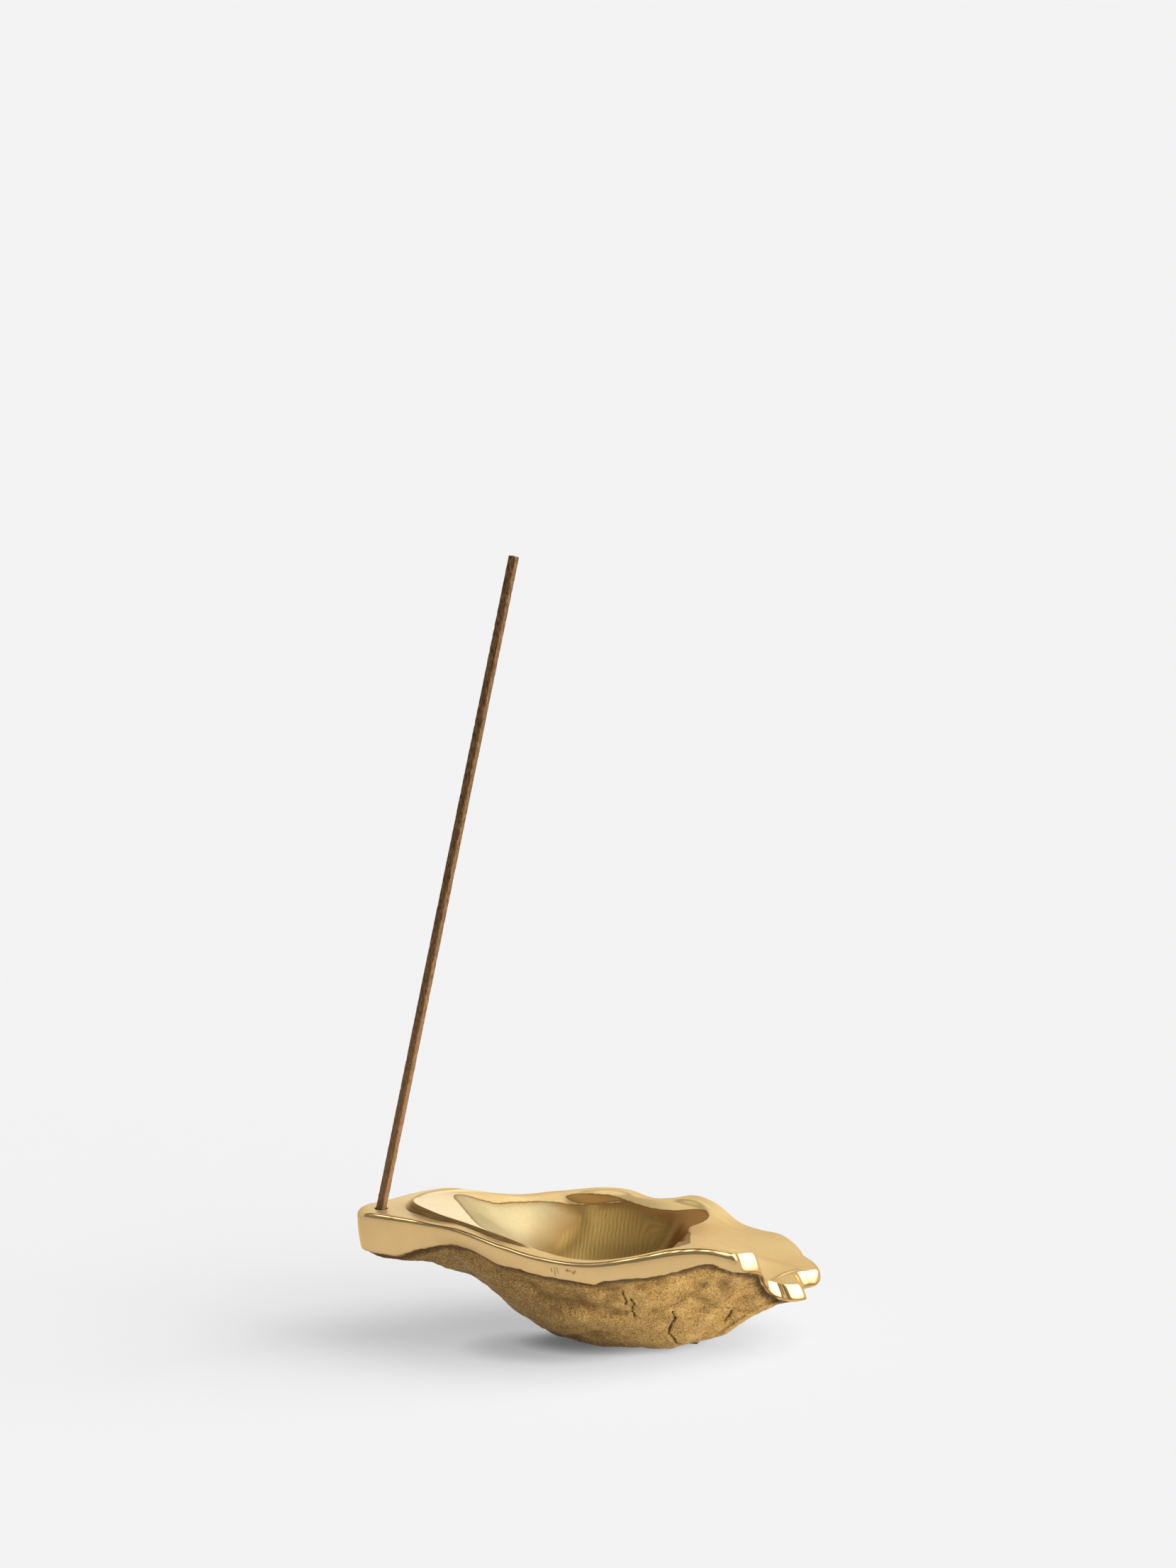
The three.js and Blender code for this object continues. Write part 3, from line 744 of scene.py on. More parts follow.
def speckle_group():
    """Scattered dark specks with a given size, for pits in metal and grains in paste."""
    tree = bpy.data.node_groups.get("Specks")
    if tree:
        return tree
    w, given, out = new_group("Specks", {"Scale": 1500.0, "Amount": 0.3}, ["Mask", "Height"])
    cells = w.add("ShaderNodeTexVoronoi")
    w.join(w.place(), cells.inputs["Vector"])
    w.join(given["Scale"], cells.inputs["Scale"])
    random = w.add("ShaderNodeTexWhiteNoise")
    w.join(cells.outputs["Position"], random.inputs["Vector"])
    chosen = w.maths("LESS_THAN", random.outputs["Value"], given["Amount"])
    round_speck = w.step(cells.outputs["Distance"], 0.42, 0.2)
    mask = w.times(chosen, round_speck)
    w.join(mask, out["Mask"])
    w.join(w.minus(1.0, mask), out["Height"])
    return w.tree


def wavy_edge_group():
    """Turns a signed distance into a sharp mask with a wavy border and a dark line along it."""
    tree = bpy.data.node_groups.get("Wavy edge")
    if tree:
        return tree
    defaults = {"Distance": 0.0, "Waviness": 0.35, "Wave scale": 900.0, "Line width": 0.3}
    w, given, out = new_group("Wavy edge", defaults, ["Inside", "Line"])
    wave = w.minus(w.grain(given["Wave scale"], 2.0), 0.5)
    moved = w.plus(given["Distance"], w.times(wave, given["Waviness"]))
    w.join(w.step(moved, 0.06, -0.06), out["Inside"])
    gap = w.over(w.maths("ABSOLUTE", moved), given["Line width"])
    w.join(w.step(gap, 1.0, 0.1), out["Line"])
    return w.tree


def fine_wear_group():
    """Small unevenness of worked metal: height and roughness change."""
    tree = bpy.data.node_groups.get("Fine wear")
    if tree:
        return tree
    w, given, out = new_group("Fine wear", {"Scale": 400.0}, ["Mask", "Height"])
    broad = w.grain(given["Scale"], 3.0)
    fine = w.grain(w.times(given["Scale"], 6.0), 2.0)
    w.join(w.step(broad, 0.3, 0.75), out["Mask"])
    w.join(w.plus(w.times(broad, 0.7), w.times(fine, 0.3)), out["Height"])
    return w.tree


def brass_material(settings):
    """One brass with its polished, brushed, tool-marked, browned and cast places told apart by masks."""
    material, w, shader = new_material("brass")
    wear = w.group(fine_wear_group(), Scale=260.0)
    across, _, up = w.axes(w.place())

    # Where each finish lies
    edge_group = wavy_edge_group()
    bowl = w.group(edge_group, Distance=w.attribute("bowl_edge"), Waviness=0.4, Line_width=0.28)
    recess = w.group(edge_group, Distance=w.attribute("recess_edge"), Waviness=0.3, Line_width=0.26)
    rippled = w.times(w.step(w.attribute("ripple_edge"), 0.5, -0.7), bowl["Inside"])
    sandy = w.times(bowl["Inside"], w.attribute("sandy"))
    satin = w.attribute("satin")
    cast = w.attribute("cast")
    riser = w.attribute("riser")
    pit = w.attribute("pit")
    # Cracks are rows of small pits, so their width wanders
    ragged = w.times(w.grain(2600.0, 3.0, 0.7), 0.75)
    gap = w.minus(w.attribute("crack_gap"), w.minus(ragged, 0.27))
    crack = w.times(w.step(gap, 0.1, -0.04), cast)
    marks = w.larger(crack, w.times(w.attribute("scratch"), 0.6))

    # Tool marks in the pocket lie in upright planes side by side, which bend to the right
    leaning = w.minus(across, w.times(up, RIPPLE_LEAN))
    rising = w.times(w.step(across, *RIPPLE_BEND), w.minus(up, RIPPLE_BEND_HEIGHT))
    jitter = w.times(w.grain(420.0, 3.0, 0.6), 0.001)
    run = w.minus(w.plus(leaning, jitter), w.times(rising, 1.3))
    wave = w.maths("SINE", w.times(run, 2 * math.pi / settings.ripple_spacing))
    fade = w.step(w.grain(380.0, 2.0), 0.3, 0.65)
    ripple = w.times(w.plus(w.times(wave, fade), 1.0), 0.5)

    # Colour of the polished and browned places, with a painted highlight and a painted reflection
    tone = w.blend(satin, tuple(settings.band), tuple(settings.polished))
    tone = w.stain(tone, wear["Mask"], 0.25, "D2AE74")
    # Painted highlight: pale cream on the slope below the riser and on the hinge's ledge, in place of a
    # bright reflection
    tone = w.blend(w.attribute("pale"), tone, colour("FFF1CC"))
    # The bowl's smooth ring is painted brown: partly tarnish, partly a painted dark reflection of the
    # bowl's own wall
    tone = w.blend(bowl["Inside"], tone, tuple(settings.browned))

    # Colour of the sandy and tool-marked places
    sand = w.grain(4200.0, 2.0, 0.6)
    sand_share = w.times(w.step(sand, 0.3, 0.75), 0.6)
    sand_tone = w.blend(sand_share, colour("BBA674"), tuple(settings.brushed))
    sand_tone = w.stain(sand_tone, w.step(w.grain(160.0, 3.0), 0.3, 0.7), 0.2, "DCCBA6")
    sand_tone = w.stain(sand_tone, w.step(w.attribute("bowl_edge"), -1.3, 0.0), 0.5, "A07E46")
    # Painted shade: the sand is darker near the crease
    sand_tone = w.stain(sand_tone, w.attribute("shade"), 0.85, "85642F")
    tone = w.blend(sandy, tone, sand_tone)
    darker = w.step(across, -12 * MM, 8 * MM)
    ripple_tone = w.blend(darker, tuple(settings.rippled), colour("90713A"))
    # Painted shade: the tool marks' hollows are painted darker, alongside their bump
    ripple_tone = w.stain(ripple_tone, ripple, 0.6, "785B2C")
    tone = w.blend(rippled, tone, ripple_tone)
    # Painted reflection: the recess is painted brown, for the dark reflection in its hollow
    tone = w.blend(recess["Inside"], tone, colour("9A733C"))
    # Painted shade along the crease
    tone = w.stain(tone, w.attribute("crease"), 0.6, "6B5228")
    lines = w.larger(w.times(bowl["Line"], w.attribute("top")), recess["Line"])
    tone = w.stain(tone, lines, 0.75, "6A4A20")

    # Colour of the cast skin, from its broad patches to its specks, with painted shade and painted glints
    specks = w.group(speckle_group(), Scale=1500.0, Amount=0.16)
    sand_skin = w.grain(2300.0, 4.0, 0.75)
    patch = w.step(w.grain(240.0, 4.0, 0.6), 0.3, 0.7)
    # Painted shade low on the skin by the foot, towards the left
    shade_near_foot = w.times(w.step(up, 5.5 * MM, 1.5 * MM), w.step(across, 10 * MM, -10 * MM))
    # Painted glints: bright specks on the skin's grain in place of sparkling highlights
    painted_glints = w.times(w.step(sand_skin, 0.47, 0.6), w.step(w.grain(5200.0, 1.0, 0.5), 0.42, 0.56))
    ragged_border = w.plus(w.attribute("border"), w.times(w.grain(500.0, 3.0, 0.6), 1.6))
    skin_tone = w.blend(patch, colour("D09E54"), tuple(settings.cast))
    for share, strength, code in (
        (w.step(sand_skin, 0.54, 0.34), 0.6, "7A5628"),
        (w.step(w.grain(300.0, 5.0, 0.7), 0.53, 0.4), 0.22, "84602E"),
        # Painted shade: the skin is darker towards the left, away from the lamps on the right
        (w.step(across, 6 * MM, -34 * MM), 0.62, "7E5A2C"),
        # Painted shade by the foot
        (shade_near_foot, 0.5, "8A5F30"),
        # Painted glints
        (painted_glints, 0.85, "FAD690"),
        # Painted shade in the skin's dents and just under the band
        (w.attribute("hollow_shade"), 0.55, "6E4C22"),
        # Painted shade under the band's overhang, along its ragged lower border
        (w.step(ragged_border, 2.8, 1.1), 0.85, "5C3E1E"),
    ):
        skin_tone = w.stain(skin_tone, share, strength, code)
    skin_tone = w.blend(w.times(specks["Mask"], 0.55), skin_tone, tuple(settings.dark))
    tone = w.blend(cast, tone, skin_tone)
    tone = w.stain(tone, w.attribute("brink"), 0.75, "B9793F")
    tone = w.blend(w.times(pit, 0.8), tone, tuple(settings.dark))

    # The riser is painted dark brown, partly its oxide and partly a painted dark reflection, in cast
    # layers that run along it
    along = w.add("ShaderNodeCombineXYZ")
    w.join(w.times(across, 260.0), along.inputs["X"])
    w.join(w.times(w.attribute("rise"), 4.5), along.inputs["Y"])
    layers = w.step(w.grain(1.0, 3.0, 0.6, vector=along.outputs["Vector"]), 0.32, 0.66)
    riser_tone = w.blend(layers, colour("5E4422"), colour("98743E"))
    tone = w.blend(w.times(riser, 0.85), tone, riser_tone)
    tone = w.stain(tone, marks, 0.9, "2E1E10")
    # Light that bounces off the brass doesn't tint the floor
    bounced = w.add("ShaderNodeLightPath").outputs["Is Diffuse Ray"]
    w.join(w.blend(bounced, tone, colour("969696")), shader.inputs["Base Color"])

    # Roughness, with each finish over the ones before it
    cast_rough = w.between(w.step(sand_skin, 0.6, 0.35), 0.34, 0.6)
    rough = w.between(satin, w.between(wear["Mask"], 0.1, 0.15), w.between(wear["Mask"], 0.36, 0.42))
    for share, value in (
        (bowl["Inside"], 0.42),
        (sandy, 0.5),
        (rippled, 0.42),
        (recess["Inside"], 0.5),
        (cast, cast_rough),
        (riser, 0.45),
    ):
        rough = w.between(share, rough, value)
    w.join(rough, shader.inputs["Roughness"])
    shader.inputs["Specular Tint"].default_value = (*settings.glancing, 1.0)
    dirt = w.larger(crack, w.times(cast, pit))
    metal = w.between(cast, w.between(satin, 1.0, 0.8), 0.45)
    w.join(w.times(metal, w.between(dirt, 1.0, 0.3)), shader.inputs["Metallic"])

    # Relief too fine for the mesh
    skin_height = w.times(w.times(sand_skin, specks["Height"]), cast)
    skin_height = w.minus(skin_height, w.times(crack, 0.6))
    height = w.plus(w.times(skin_height, 1.9), w.times(w.times(layers, 0.3), riser))
    sand_height = w.times(w.times(sand, 0.09), sandy)
    ripple_height = w.times(w.times(ripple, 0.05), rippled)
    height = w.plus(height, w.plus(sand_height, ripple_height))
    height = w.plus(height, w.times(wear["Height"], 0.02))
    w.join(w.bump(height, 0.3 * MM), shader.inputs["Normal"])
    return material


def stick_material(settings):
    """Pressed incense paste with light fibres and dark grains, warmer towards its foot."""
    material, w, shader = new_material("incense")
    specks = w.group(speckle_group(), Scale=2200.0, Amount=0.3)
    wear = w.group(fine_wear_group(), Scale=900.0)
    fibre = w.grain(1.0, 4.0, 0.65, vector=w.stretched((2400.0, 2400.0, 700.0)))
    tone = w.blend(w.step(fibre, 0.3, 0.7), tuple(settings.dark), tuple(settings.light))
    _, _, up = w.axes(w.place())
    tone = w.stain(tone, w.step(up, 120 * MM, 30 * MM), 0.35, "A67B52")
    tone = w.stain(tone, specks["Mask"], 0.6, "2E1E12")
    w.join(tone, shader.inputs["Base Color"])
    w.join(w.between(wear["Mask"], 0.82, 0.95), shader.inputs["Roughness"])
    height = w.plus(w.times(fibre, 0.6), w.times(wear["Height"], 0.4))
    w.join(w.bump(height, 0.12 * MM), shader.inputs["Normal"])
    shader.inputs["Specular IOR Level"].default_value = 0.25
    return material


# Pieces


def add_object(name, data):
    """An object in the scene."""
    made = bpy.data.objects.new(name, data)
    bpy.context.scene.collection.objects.link(made)
    return made


def add_mesh(name, vertices, faces):
    """An object in the scene with a mesh of its own."""
    mesh = bpy.data.meshes.new(name)
    mesh.from_pydata(vertices, [], faces)
    return add_object(name, mesh)


def add_piece(name, vertices, faces, values):
    """A smooth piece in metres from millimetres, with named values on its points."""
    piece = add_mesh(name, (vertices * MM).tolist(), faces)
    for label, value in values.items():
        layer = piece.data.attributes.new(label, "FLOAT", "POINT")
        layer.data.foreach_set("value", np.asarray(value, np.float32))
    piece.data.polygons.foreach_set("use_smooth", [True] * len(faces))
    piece.data.update()
    return piece


def ring_faces(rings, columns):
    """Faces of a closed skin of rings between a first and a last point."""
    column = np.arange(columns)
    following = (column + 1) % columns
    faces = [(0, 1 + a, 1 + b) for a, b in zip(column, following)]
    for ring in range(rings - 1):
        near, far = 1 + ring * columns, 1 + (ring + 1) * columns
        faces.extend(zip(near + column, far + column, far + following, near + following))
    last, tip = 1 + (rings - 1) * columns, 1 + rings * columns
    faces.extend((last + a, tip, last + b) for a, b in zip(column, following))
    return [tuple(int(v) for v in face) for face in faces]


def line_gap(lines, x, z):
    """Distance from points to the nearest of some lines, drawn as seen from the front."""
    return np.minimum(FAR, np.minimum.reduce([segment_distance(x, z, line) for line in lines]))


# Noise of the cast skin: lengths of change in X, Y and Z, octaves, and where it is sampled
LUMPS = ((10.0, 10.0, 8.0), 2, 3.1)
KNOBS = ((3.6, 3.6, 3.0), 3, 11.7)
GRAINS = ((1.1, 1.1, 1.0), 3, 23.0)
PATCHES = ((7.0, 7.0, 6.0), 2, 61.0)
BORDER = ((6.0, 6.0, 4.0), 3, 41.0)
# Heights of the knobs and grains as shares of the lumps' height
KNOB_SHARE = 0.42
GRAIN_SHARE = 0.14
# How far the cast skin lies under the band, and how deep the band's pits are
SKIN_INSET = 0.25
BAND_PIT_DEPTH = 0.2
# The sandy part's right border in plan: places along Y, and X at each of them
SAND_BORDER = ([-20, 0, 20, 26], [-12, -16, -11, -9])
# Order of the zones' rings, from the bowl's middle to the foot's, and which of them run backwards
ZONES = (
    ("bowl", -1),
    ("deck", -1),
    ("riser", -1),
    ("ledge", -1),
    ("edge", -1),
    ("band", 1),
    ("skin", 1),
    ("foot", 1),
)


def cast_relief(points, normals, settings):
    """Height of the rough skin over its smooth form, with masks for its pits, its cracks and its painted
    shade.
    """
    lumps, knobs, grain = (field(points, *kind) for kind in (LUMPS, KNOBS, GRAINS))
    height = settings.lump_height / MM * (lumps + KNOB_SHARE * knobs + GRAIN_SHARE * grain)
    patchy = smoothstep(-0.1, 0.35, field(points, *PATCHES))
    pit = np.maximum(pit_field(points, 1.9, 5.0), pit_field(points, 1.0, 9.0)) * patchy
    near = smoothstep(0.15, -0.15, normals[:, 1])
    x, z = points[:, 0], points[:, 2]
    wander = 0.5 * knobs + 0.25 * grain
    crack_gap = line_gap(CRACKS, x + wander, z)
    fold_gap = line_gap(FOLDS, x + wander, z)
    dent = np.zeros(len(points))
    for middle_x, middle_z, half_length, half_height, slope, depth in HOLLOWS:
        across = (z - middle_z - slope * (x - middle_x)) / half_height
        dent += depth * np.exp(-(((x - middle_x) / half_length) ** 2) - across**2)
    dent *= near
    cut = np.exp(-((crack_gap / CRACK_WIDTH) ** 2)) + 0.6 * np.exp(-((fold_gap / FOLD_WIDTH) ** 2))
    # Painted shade: a mask of the skin's dents and low places, which are painted darker
    hollow_shade = smoothstep(0.0, 1.0, 0.9 * dent - 0.5 * lumps - 0.9 * knobs)
    height -= dent + settings.crack_depth / MM * cut * near + settings.pit_depth / MM * pit
    crack_gap = np.minimum(crack_gap, fold_gap + 0.1) + FAR * (1 - near)
    return height, pit, crack_gap, hollow_shade


def band_marks(points, normals):
    """Masks of the polished band's few pits and scratches on its near side."""
    x, z = points[:, 0], points[:, 2]
    near = normals[:, 1] < -0.5
    pits = [np.exp(-((x - a) ** 2 + (z - b) ** 2) / half_width**2) for a, b, half_width in BAND_PITS]
    scratches = np.exp(-((line_gap(SCRATCHES, x, z) / SCRATCH_WIDTH) ** 2))
    return np.maximum.reduce(pits) * near, scratches * near


def make_shell_mesh(settings):
    """Mesh of the casting with the values its finishes need."""
    zones, cosine, sine, direction = shell_rings(settings.columns)
    rings, names = [], []
    for name, order in ZONES:
        rings.extend(zones[name][::order])
        names.extend([name] * len(zones[name]))
    names = np.array(names)
    radius, height = (np.array(values) for values in zip(*rings))
    points = np.stack([CENTRE[0] + cosine * radius, CENTRE[1] + sine * radius, height], axis=2)
    normals = grid_normals(points)

    # The cast skin starts at the band's uneven lower edge
    low = np.isin(names, ["band", "skin", "foot"])
    flat = points[low].reshape(-1, 3)
    outward = normals[low].reshape(-1, 3)
    relief, pit, crack_gap, hollow_shade = cast_relief(flat, outward, settings)
    below = (zones["band"][-1][1] - points[low][:, :, 2]).ravel()
    below = below + 0.7 * field(flat, *BORDER) + 0.25 * relief
    cast = smoothstep(-0.2, 0.3, below)
    # The painted shade reaches just under the band's lower edge too
    hollow_shade = np.maximum(hollow_shade, smoothstep(1.9, 0.2, below + 0.8 * relief))
    band_pit, scratch = band_marks(flat, outward)
    push = relief * smoothstep(-0.1, 1.4, below) - SKIN_INSET * cast
    push = push - BAND_PIT_DEPTH * band_pit * (1 - cast)
    points[low] = (flat + outward * push[:, None]).reshape(points[low].shape)
    lowest, highest = (np.array(corner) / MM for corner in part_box("shell"))
    points = np.clip(points, lowest, highest)

    # Borders of the finishes on the top
    top, at_riser, at_edge = ~low, names == "riser", names == "edge"
    x, y = points[top][:, :, 0].ravel(), points[top][:, :, 1].ravel()
    crease_gap = segment_distance(x, y, CREASE)
    sandy = smoothstep(2.0, -1.0, x - np.interp(y, *SAND_BORDER))
    ledge_height = zones["ledge"][-1][1]
    step = np.maximum(zones["riser"][-1][1] - ledge_height, 0)
    main_riser = smoothstep(0.15, 0.6, step) * within(direction, *MAIN_RISER)
    lip_riser = 0.5 * smoothstep(0.1, 0.4, step) * smoothstep(320, 335, direction)
    rise = points[at_riser][:, :, 2] - ledge_height
    riser = np.broadcast_to(np.maximum(main_riser, lip_riser), rise.shape)
    # The rim's edge is polished on the near side and satin on the far side
    satin = np.where(at_edge[top][:, None], within(direction, *SATIN_EDGE), 1.0)
    # Painted highlight: the slope from the riser down to the bowl is painted palest, and the hinge's
    # ledge a little pale
    on_deck, on_ledge = ((names[top] == name)[:, None] for name in ("deck", "ledge"))
    plate = 0.32 * within(direction, *PLATE_PAINTED_HIGHLIGHT)
    pale = np.where(on_deck, within(direction, *SLOPE_PAINTED_HIGHLIGHT), np.where(on_ledge, plate, 0.0))
    # Lower border of the lip's facets
    above = points[at_edge][:, :, 2] - zones["edge"][0][1]
    brink = np.exp(-((above / 0.3) ** 2)) * within(direction, *FACETS)

    def spread(values, where, outside=0.0):
        """Values for all points from those of some rings."""
        grid = np.full(points.shape[:2], outside)
        grid[where] = values.reshape(grid[where].shape)
        return np.concatenate([[outside], grid.ravel(), [outside]])

    values = {
        "bowl_edge": spread(outline_distance(x, y, BOWL_OUTLINE), top, FAR),
        "ripple_edge": spread(outline_distance(x, y, RIPPLE_OUTLINE), top, FAR),
        "recess_edge": spread(outline_distance(x, y, RECESS_OUTLINE), top, FAR),
        "top": spread(np.ones(len(x)), top),
        "satin": spread(satin, top),
        "sandy": spread(sandy, top),
        # Painted shade along the crease and on the sand beside it
        "crease": spread(np.exp(-((crease_gap / 1.7) ** 2)), top),
        "shade": spread(smoothstep(9.0, 1.0, crease_gap), top),
        "pale": spread(pale, top),
        "riser": spread(riser, at_riser),
        "rise": spread(rise, at_riser),
        "brink": spread(brink, at_edge),
        "cast": spread(cast, low),
        "pit": spread(np.maximum(np.minimum(1, 1.5 * pit) * cast, band_pit), low),
        "crack_gap": spread(crack_gap + FAR * (1 - cast), low, FAR),
        "scratch": spread(scratch * (1 - cast), low),
        "hollow_shade": spread(hollow_shade * cast, low),
        "border": spread(below, low),
    }
    values["bowl_edge"][0] = values["ripple_edge"][0] = -FAR
    values["cast"][-1] = 1.0
    first, last = [(*CENTRE, FLOOR_HEIGHT)], [(*CENTRE, FOOT_HEIGHT)]
    vertices = np.concatenate([first, points.reshape(-1, 3), last])
    return add_piece("brass_shell", vertices, ring_faces(*points.shape[:2]), values)


# The drilled hole, which leans as the stick does
HOLE_MOUTH = Vector((-60.1, -1.6, 31.6)) * MM
HOLE_RADIUS = 1.5 * MM
HOLE_DEPTH = 7.0 * MM
HOLE_SIDES = 40
STICK_LEAN = math.radians(11.6)
STICK_TURN = math.radians(-30.0)
STICK_GAP = 0.3 * MM

# Rings of the stick, its corners' radius as a share of its side, how deep its corners are chipped,
# and how much its grains may widen it
STICK_STEPS = 460
CORNER_SHARE = 0.14
CHIP_DEPTH = 0.25 * MM
WIDEST = 1.02


def drill_hole(shell):
    """Cuts the stick's hole into the hinge plate."""
    turns = np.arange(HOLE_SIDES) * math.tau / HOLE_SIDES
    ring = [(HOLE_RADIUS * math.cos(a), HOLE_RADIUS * math.sin(a)) for a in turns]
    vertices = [(x, y, z) for z in (-HOLE_DEPTH, HOLE_DEPTH) for x, y in ring]
    faces = [tuple(range(HOLE_SIDES))[::-1], tuple(range(HOLE_SIDES, 2 * HOLE_SIDES))]
    for k in range(HOLE_SIDES):
        following = (k + 1) % HOLE_SIDES
        faces.append((k, following, HOLE_SIDES + following, HOLE_SIDES + k))
    drill = add_mesh("drill", vertices, faces)
    drill.matrix_world = Matrix.Translation(HOLE_MOUTH) @ Matrix.Rotation(STICK_LEAN, 4, "Y")
    cut = shell.modifiers.new("hole", "BOOLEAN")
    cut.operation = "DIFFERENCE"
    cut.solver = "EXACT"
    cut.object = drill
    bpy.context.view_layer.objects.active = shell
    bpy.ops.object.modifier_apply(modifier=cut.name)
    bpy.data.objects.remove(drill)


def make_stick_mesh(settings):
    """Mesh of the square stick along +Z from its lower end, with soft corners and uneven faces."""
    half, length = settings.side / 2, settings.length
    corner = CORNER_SHARE * settings.side
    flat = half - corner
    side = [(half, k / 3 * flat) for k in range(-3, 4)]
    for angle in (math.pi / 6, math.pi / 3):
        side.append((flat + corner * math.cos(angle), flat + corner * math.sin(angle)))
    outline = []
    for quarter in range(4):
        cosine, sine = math.cos(quarter * math.pi / 2), math.sin(quarter * math.pi / 2)
        outline += [(x * cosine - y * sine, x * sine + y * cosine) for x, y in side]
    points = [(0.0, 0.0, 0.0)]
    for k in range(STICK_STEPS + 1):
        z = length * k / STICK_STEPS
        for x, y in outline:
            place = Vector((x, y, z)) / MM
            push = noise.fractal(Vector((place.x * 1.7, place.y * 1.7, place.z * 1.1)), 1.0, 2.0, 3)
            chips = max(0.0, noise.noise(place * 0.9 + Vector((5, 2, 7))) - 0.42)
            is_corner = abs(abs(x) - abs(y)) < 0.25 * half
            moved = settings.roughness * push - (CHIP_DEPTH * chips if is_corner else 0)
            scale = min(1 + moved / half, WIDEST)
            points.append((x * scale, y * scale, z))
    points.append((0.0, 0.0, length))
    faces = [face[::-1] for face in ring_faces(STICK_STEPS + 1, len(outline))]
    return add_piece("incense_stick_visual", np.array(points) / MM, faces, {})


class INCENSE_OT_shell(bpy.types.Operator):
    """Build the brass casting with its finishes"""

    bl_idname = "incense.shell"
    bl_label = "Build Brass Shell"

    def execute(self, context):
        settings = context.scene.holder_shell
        shell = make_shell_mesh(settings)
        drill_hole(shell)
        shell.data.materials.append(brass_material(settings))
        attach(shell, "holder")
        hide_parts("shell")
        return {"FINISHED"}


class INCENSE_OT_stick(bpy.types.Operator):
    """Build the incense stick in its hole"""

    bl_idname = "incense.stick"
    bl_label = "Build Incense Stick"

    def execute(self, context):
        settings = context.scene.holder_stick
        stick = make_stick_mesh(settings)
        foot = Matrix.Translation((0, 0, STICK_GAP - HOLE_DEPTH))
        turned = Matrix.Rotation(STICK_LEAN, 4, "Y") @ Matrix.Rotation(STICK_TURN, 4, "Z")
        stick.data.transform(Matrix.Translation(HOLE_MOUTH) @ turned @ foot)
        stick.data.materials.append(stick_material(settings))
        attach(stick, "stick")
        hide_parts("incense_stick")
        return {"FINISHED"}


def stage_lamp(name, strength, place, softness):
    """A soft sun that shines from a place to the origin, unseen by the camera and by reflections."""
    data = bpy.data.lights.new(name, "SUN")
    data.energy = strength
    data.angle = softness
    lamp = add_object(name, data)
    lamp.location = place
    lamp.rotation_mode = "QUATERNION"
    lamp.rotation_quaternion = (Vector((0, 0, 0)) - Vector(place)).to_track_quat("-Z", "Y")
    lamp.visible_camera = False
    lamp.visible_glossy = False


def sees_background(w):
    """1 for rays from the camera, a reflection or a clear thing, which see the pale background."""
    rays = w.add("ShaderNodeLightPath").outputs
    seen = w.larger(rays["Is Camera Ray"], rays["Is Glossy Ray"])
    return w.larger(seen, rays["Is Transmission Ray"])


# Half the floor's side in metres, and where painted shade dims the floor in reflections: in Y and in X
FLOOR_REACH = 60.0
DIM_IN_FRONT = (-0.05, -0.16)
DIM_AT_LEFT = (-0.09, -0.2)


def make_floor(settings):
    """A wide pale floor that reaches the horizon and keeps the object's soft shadow."""
    signs = ((-1, -1), (1, -1), (1, 1), (-1, 1))
    floor = add_mesh("floor", [(x * FLOOR_REACH, y * FLOOR_REACH, 0) for x, y in signs], [(0, 1, 2, 3)])
    material, w, shader = new_material("seamless_floor")
    seen = sees_background(w)
    lit = tuple(v * (1 - settings.shadow_lift) for v in settings.floor)
    w.join(w.blend(seen, tuple(settings.floor), lit), shader.inputs["Base Color"])
    # Painted shade: in reflections the floor is painted dimmer towards the front and the left
    across, away, _ = w.axes(w.place())
    dim = w.larger(w.step(away, *DIM_IN_FRONT), w.step(across, *DIM_AT_LEFT))
    front = w.times(dim, settings.front_dimming)
    front = w.times(front, w.add("ShaderNodeLightPath").outputs["Is Glossy Ray"])
    # A painted shadow on the floor, deepest close to the foot on its near left side: depth, middle and
    # radii of each ellipse, and the share of it that has the whole depth
    glow = w.minus(settings.shadow_lift, front)
    for depth, middle, radii, whole in (
        (settings.painted_contact_shadow, (-20, -10), (24, 15), 0.0),
        (settings.painted_foot_shadow, (-6, -6), (24, 12), 0.2),
    ):
        off = []
        for place, centre, radius in zip((across, away), middle, radii):
            share = w.over(w.minus(place, centre * MM), radius * MM)
            off.append(w.maths("POWER", w.maths("ABSOLUTE", share), 2.0))
        deep = w.step(w.plus(*off), 1.0, whole)
        glow = w.minus(glow, w.times(deep, depth))
    w.join(w.times(seen, glow), shader.inputs["Emission Strength"])
    shader.inputs["Emission Color"].default_value = (*settings.floor, 1.0)
    shader.inputs["Roughness"].default_value = 0.9
    shader.inputs["Specular IOR Level"].default_value = 0.0
    floor.data.materials.append(material)


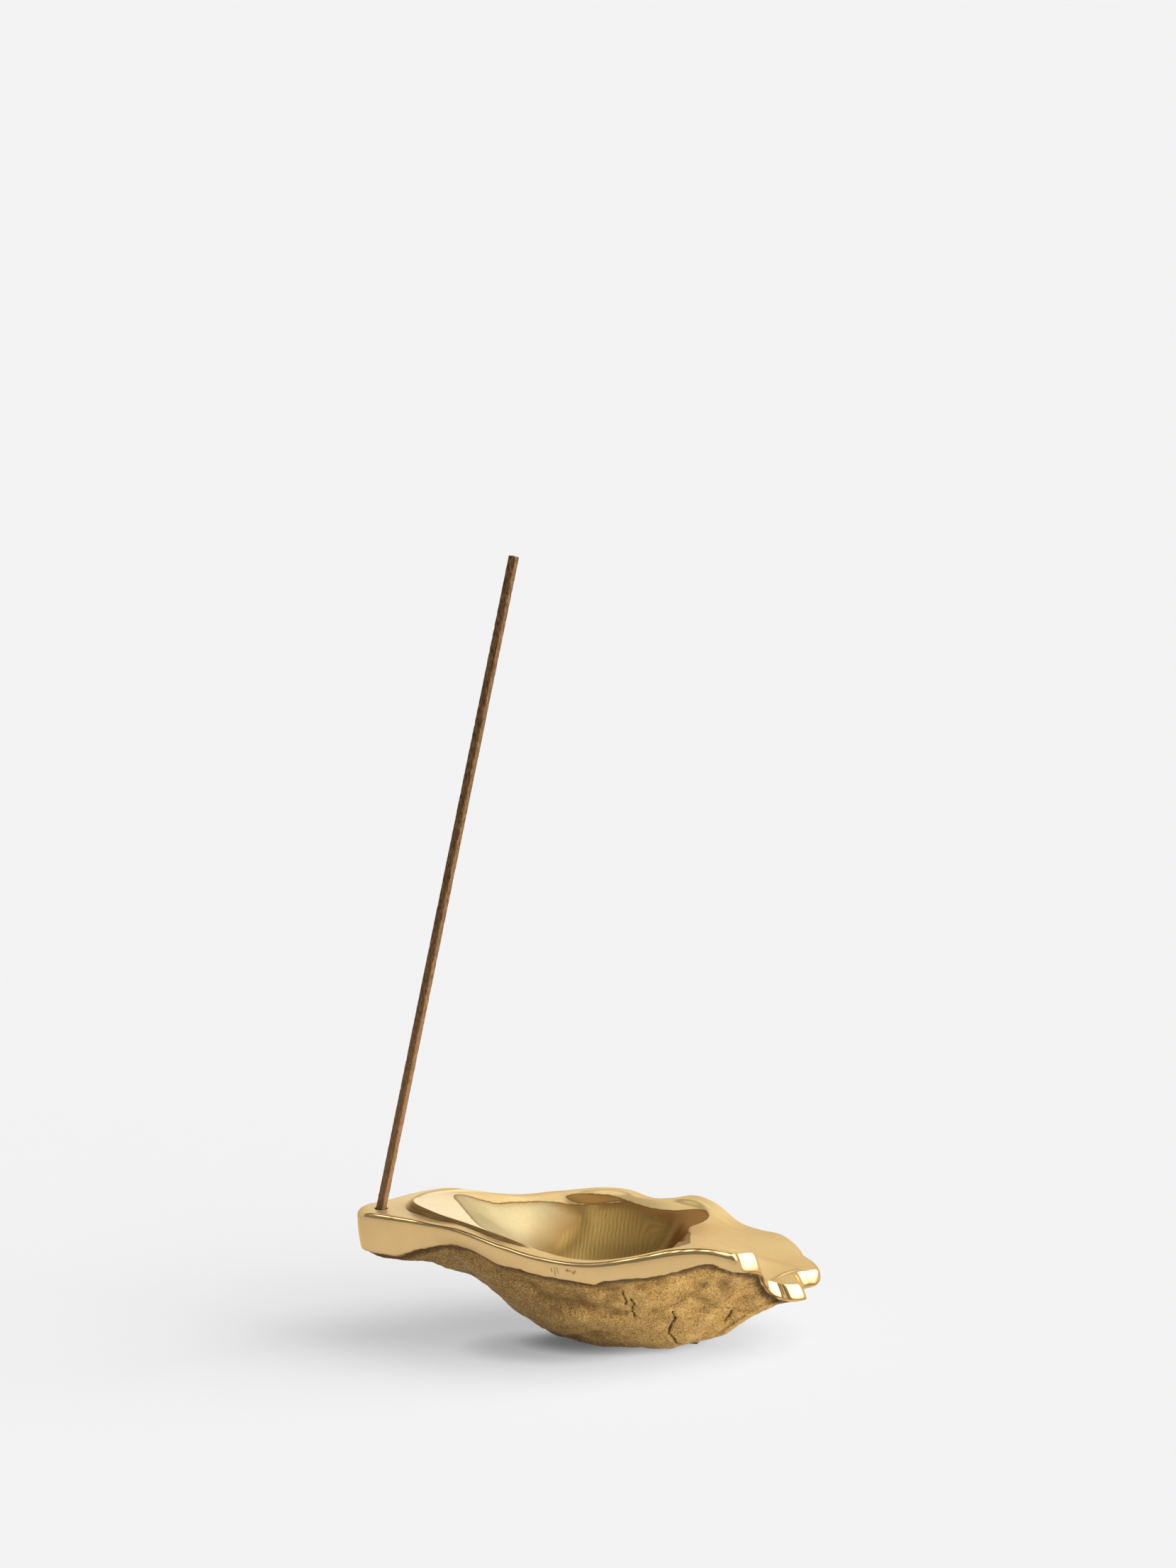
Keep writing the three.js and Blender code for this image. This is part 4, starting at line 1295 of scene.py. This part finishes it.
def make_world(settings):
    """An even fill, and for reflections a dim room with a backdrop, a window and a strip of light."""
    world = bpy.data.worlds.new("studio")
    bpy.context.scene.world = world
    world.use_nodes = True
    w = Wiring(world.node_tree)
    x, y, z = w.axes(w.add("ShaderNodeTexCoord").outputs["Generated"])

    # Backdrop behind the object, a little brighter higher up, that ends short of the zenith
    height = w.larger(z, 0.05)
    leaning = w.over(y, height)
    behind = w.times(w.step(leaning, -0.1, 0.12), w.between(w.step(z, 0.3, 0.75), 1.0, 1.2))
    zenith = w.step(w.maths("ABSOLUTE", w.plus(leaning, 0.22)), 0.2, 0.12)
    room = w.between(zenith, settings.room, settings.room * 0.4)
    # Window on the right, seen down to the floor
    level_length = w.maths("SQRT", w.larger(w.minus(1.0, w.times(z, z)), 0.01))
    window = w.times(w.step(w.over(x, level_length), 0.76, 0.95), w.step(z, 0.72, 0.5))
    window = w.times(window, w.times(w.step(z, 0.0, 0.2), w.step(y, 0.6, 0.3)))
    # Strip of light overhead, just in front of the object, in panes
    front = w.over(w.times(y, -1.0), height)
    strip = w.times(w.step(front, 0.5, 0.58), w.step(front, 1.4, 1.25))
    strip = w.times(strip, w.step(w.maths("ABSOLUTE", x), 0.9, 0.75))
    strip = w.times(strip, w.step(w.maths("SINE", w.times(x, 34.0)), -0.9, 0.2))
    studio = w.larger(w.times(behind, settings.floor[0]), room)
    studio = w.larger(studio, w.times(window, settings.window))
    studio = w.larger(studio, w.times(strip, settings.strip))

    rays = w.add("ShaderNodeLightPath").outputs
    level = w.between(sees_background(w), settings.fill, studio)
    level = w.between(rays["Is Camera Ray"], level, settings.floor[0])
    background = world.node_tree.nodes["Background"]
    w.join(level, background.inputs["Strength"])
    background.inputs["Color"].default_value = (1.0, 1.0, 1.0, 1.0)


# Where each lamp shines from, and where the camera stands, in metres
KEY_PLACE = (0.9, 0.0, 0.44)
OVERHEAD_PLACE = (0.4, 0.0, 0.9)
SIDE_PLACE = (0.74, -0.66, 0.1)
CAMERA_PLACE = (-0.01108, -0.99719, 0.32204)
FILM_WIDTH = 36.0


class INCENSE_OT_stage(bpy.types.Operator):
    """Lay the floor, hang the lamps and place the camera"""

    bl_idname = "incense.stage"
    bl_label = "Set Stage"

    def execute(self, context):
        settings = context.scene.holder_stage
        make_floor(settings)
        make_world(settings)
        stage_lamp("key", settings.key, KEY_PLACE, settings.softness)
        stage_lamp("overhead", settings.overhead, OVERHEAD_PLACE, settings.softness)
        stage_lamp("side", settings.side, SIDE_PLACE, settings.softness)
        data = bpy.data.cameras.new("photo_camera")
        data.lens = settings.lens
        data.sensor_width = FILM_WIDTH
        camera = add_object("photo_camera", data)
        camera.location = CAMERA_PLACE
        camera.rotation_euler = (math.pi / 2 - settings.pitch, 0, 0)
        context.scene.camera = camera
        context.scene.view_settings.view_transform = "Standard"
        return {"FINISHED"}


class INCENSE_PT_holder(bpy.types.Panel):
    """Lists the pieces and what can be changed on them"""

    bl_idname = "INCENSE_PT_holder"
    bl_label = "Incense Holder"
    bl_space_type = "VIEW_3D"
    bl_region_type = "UI"
    bl_category = "Incense Holder"

    def draw(self, context):
        scene = context.scene
        for operator, group in (
            ("incense.shell", scene.holder_shell),
            ("incense.stick", scene.holder_stick),
            ("incense.stage", scene.holder_stage),
        ):
            box = self.layout.box()
            box.operator(operator)
            for name in group.__annotations__:
                box.prop(group, name)


CLASSES = (
    HolderShell,
    HolderStick,
    HolderStage,
    INCENSE_OT_shell,
    INCENSE_OT_stick,
    INCENSE_OT_stage,
    INCENSE_PT_holder,
)


def register():
    for cls in CLASSES:
        bpy.utils.register_class(cls)
    bpy.types.Scene.holder_shell = PointerProperty(type=HolderShell)
    bpy.types.Scene.holder_stick = PointerProperty(type=HolderStick)
    bpy.types.Scene.holder_stage = PointerProperty(type=HolderStage)


def unregister():
    del bpy.types.Scene.holder_stage
    del bpy.types.Scene.holder_stick
    del bpy.types.Scene.holder_shell
    for cls in reversed(CLASSES):
        bpy.utils.unregister_class(cls)


def main():
    register()
    bpy.ops.incense.shell()
    bpy.ops.incense.stick()
    bpy.ops.incense.stage()


if __name__ == "__main__":
    main()
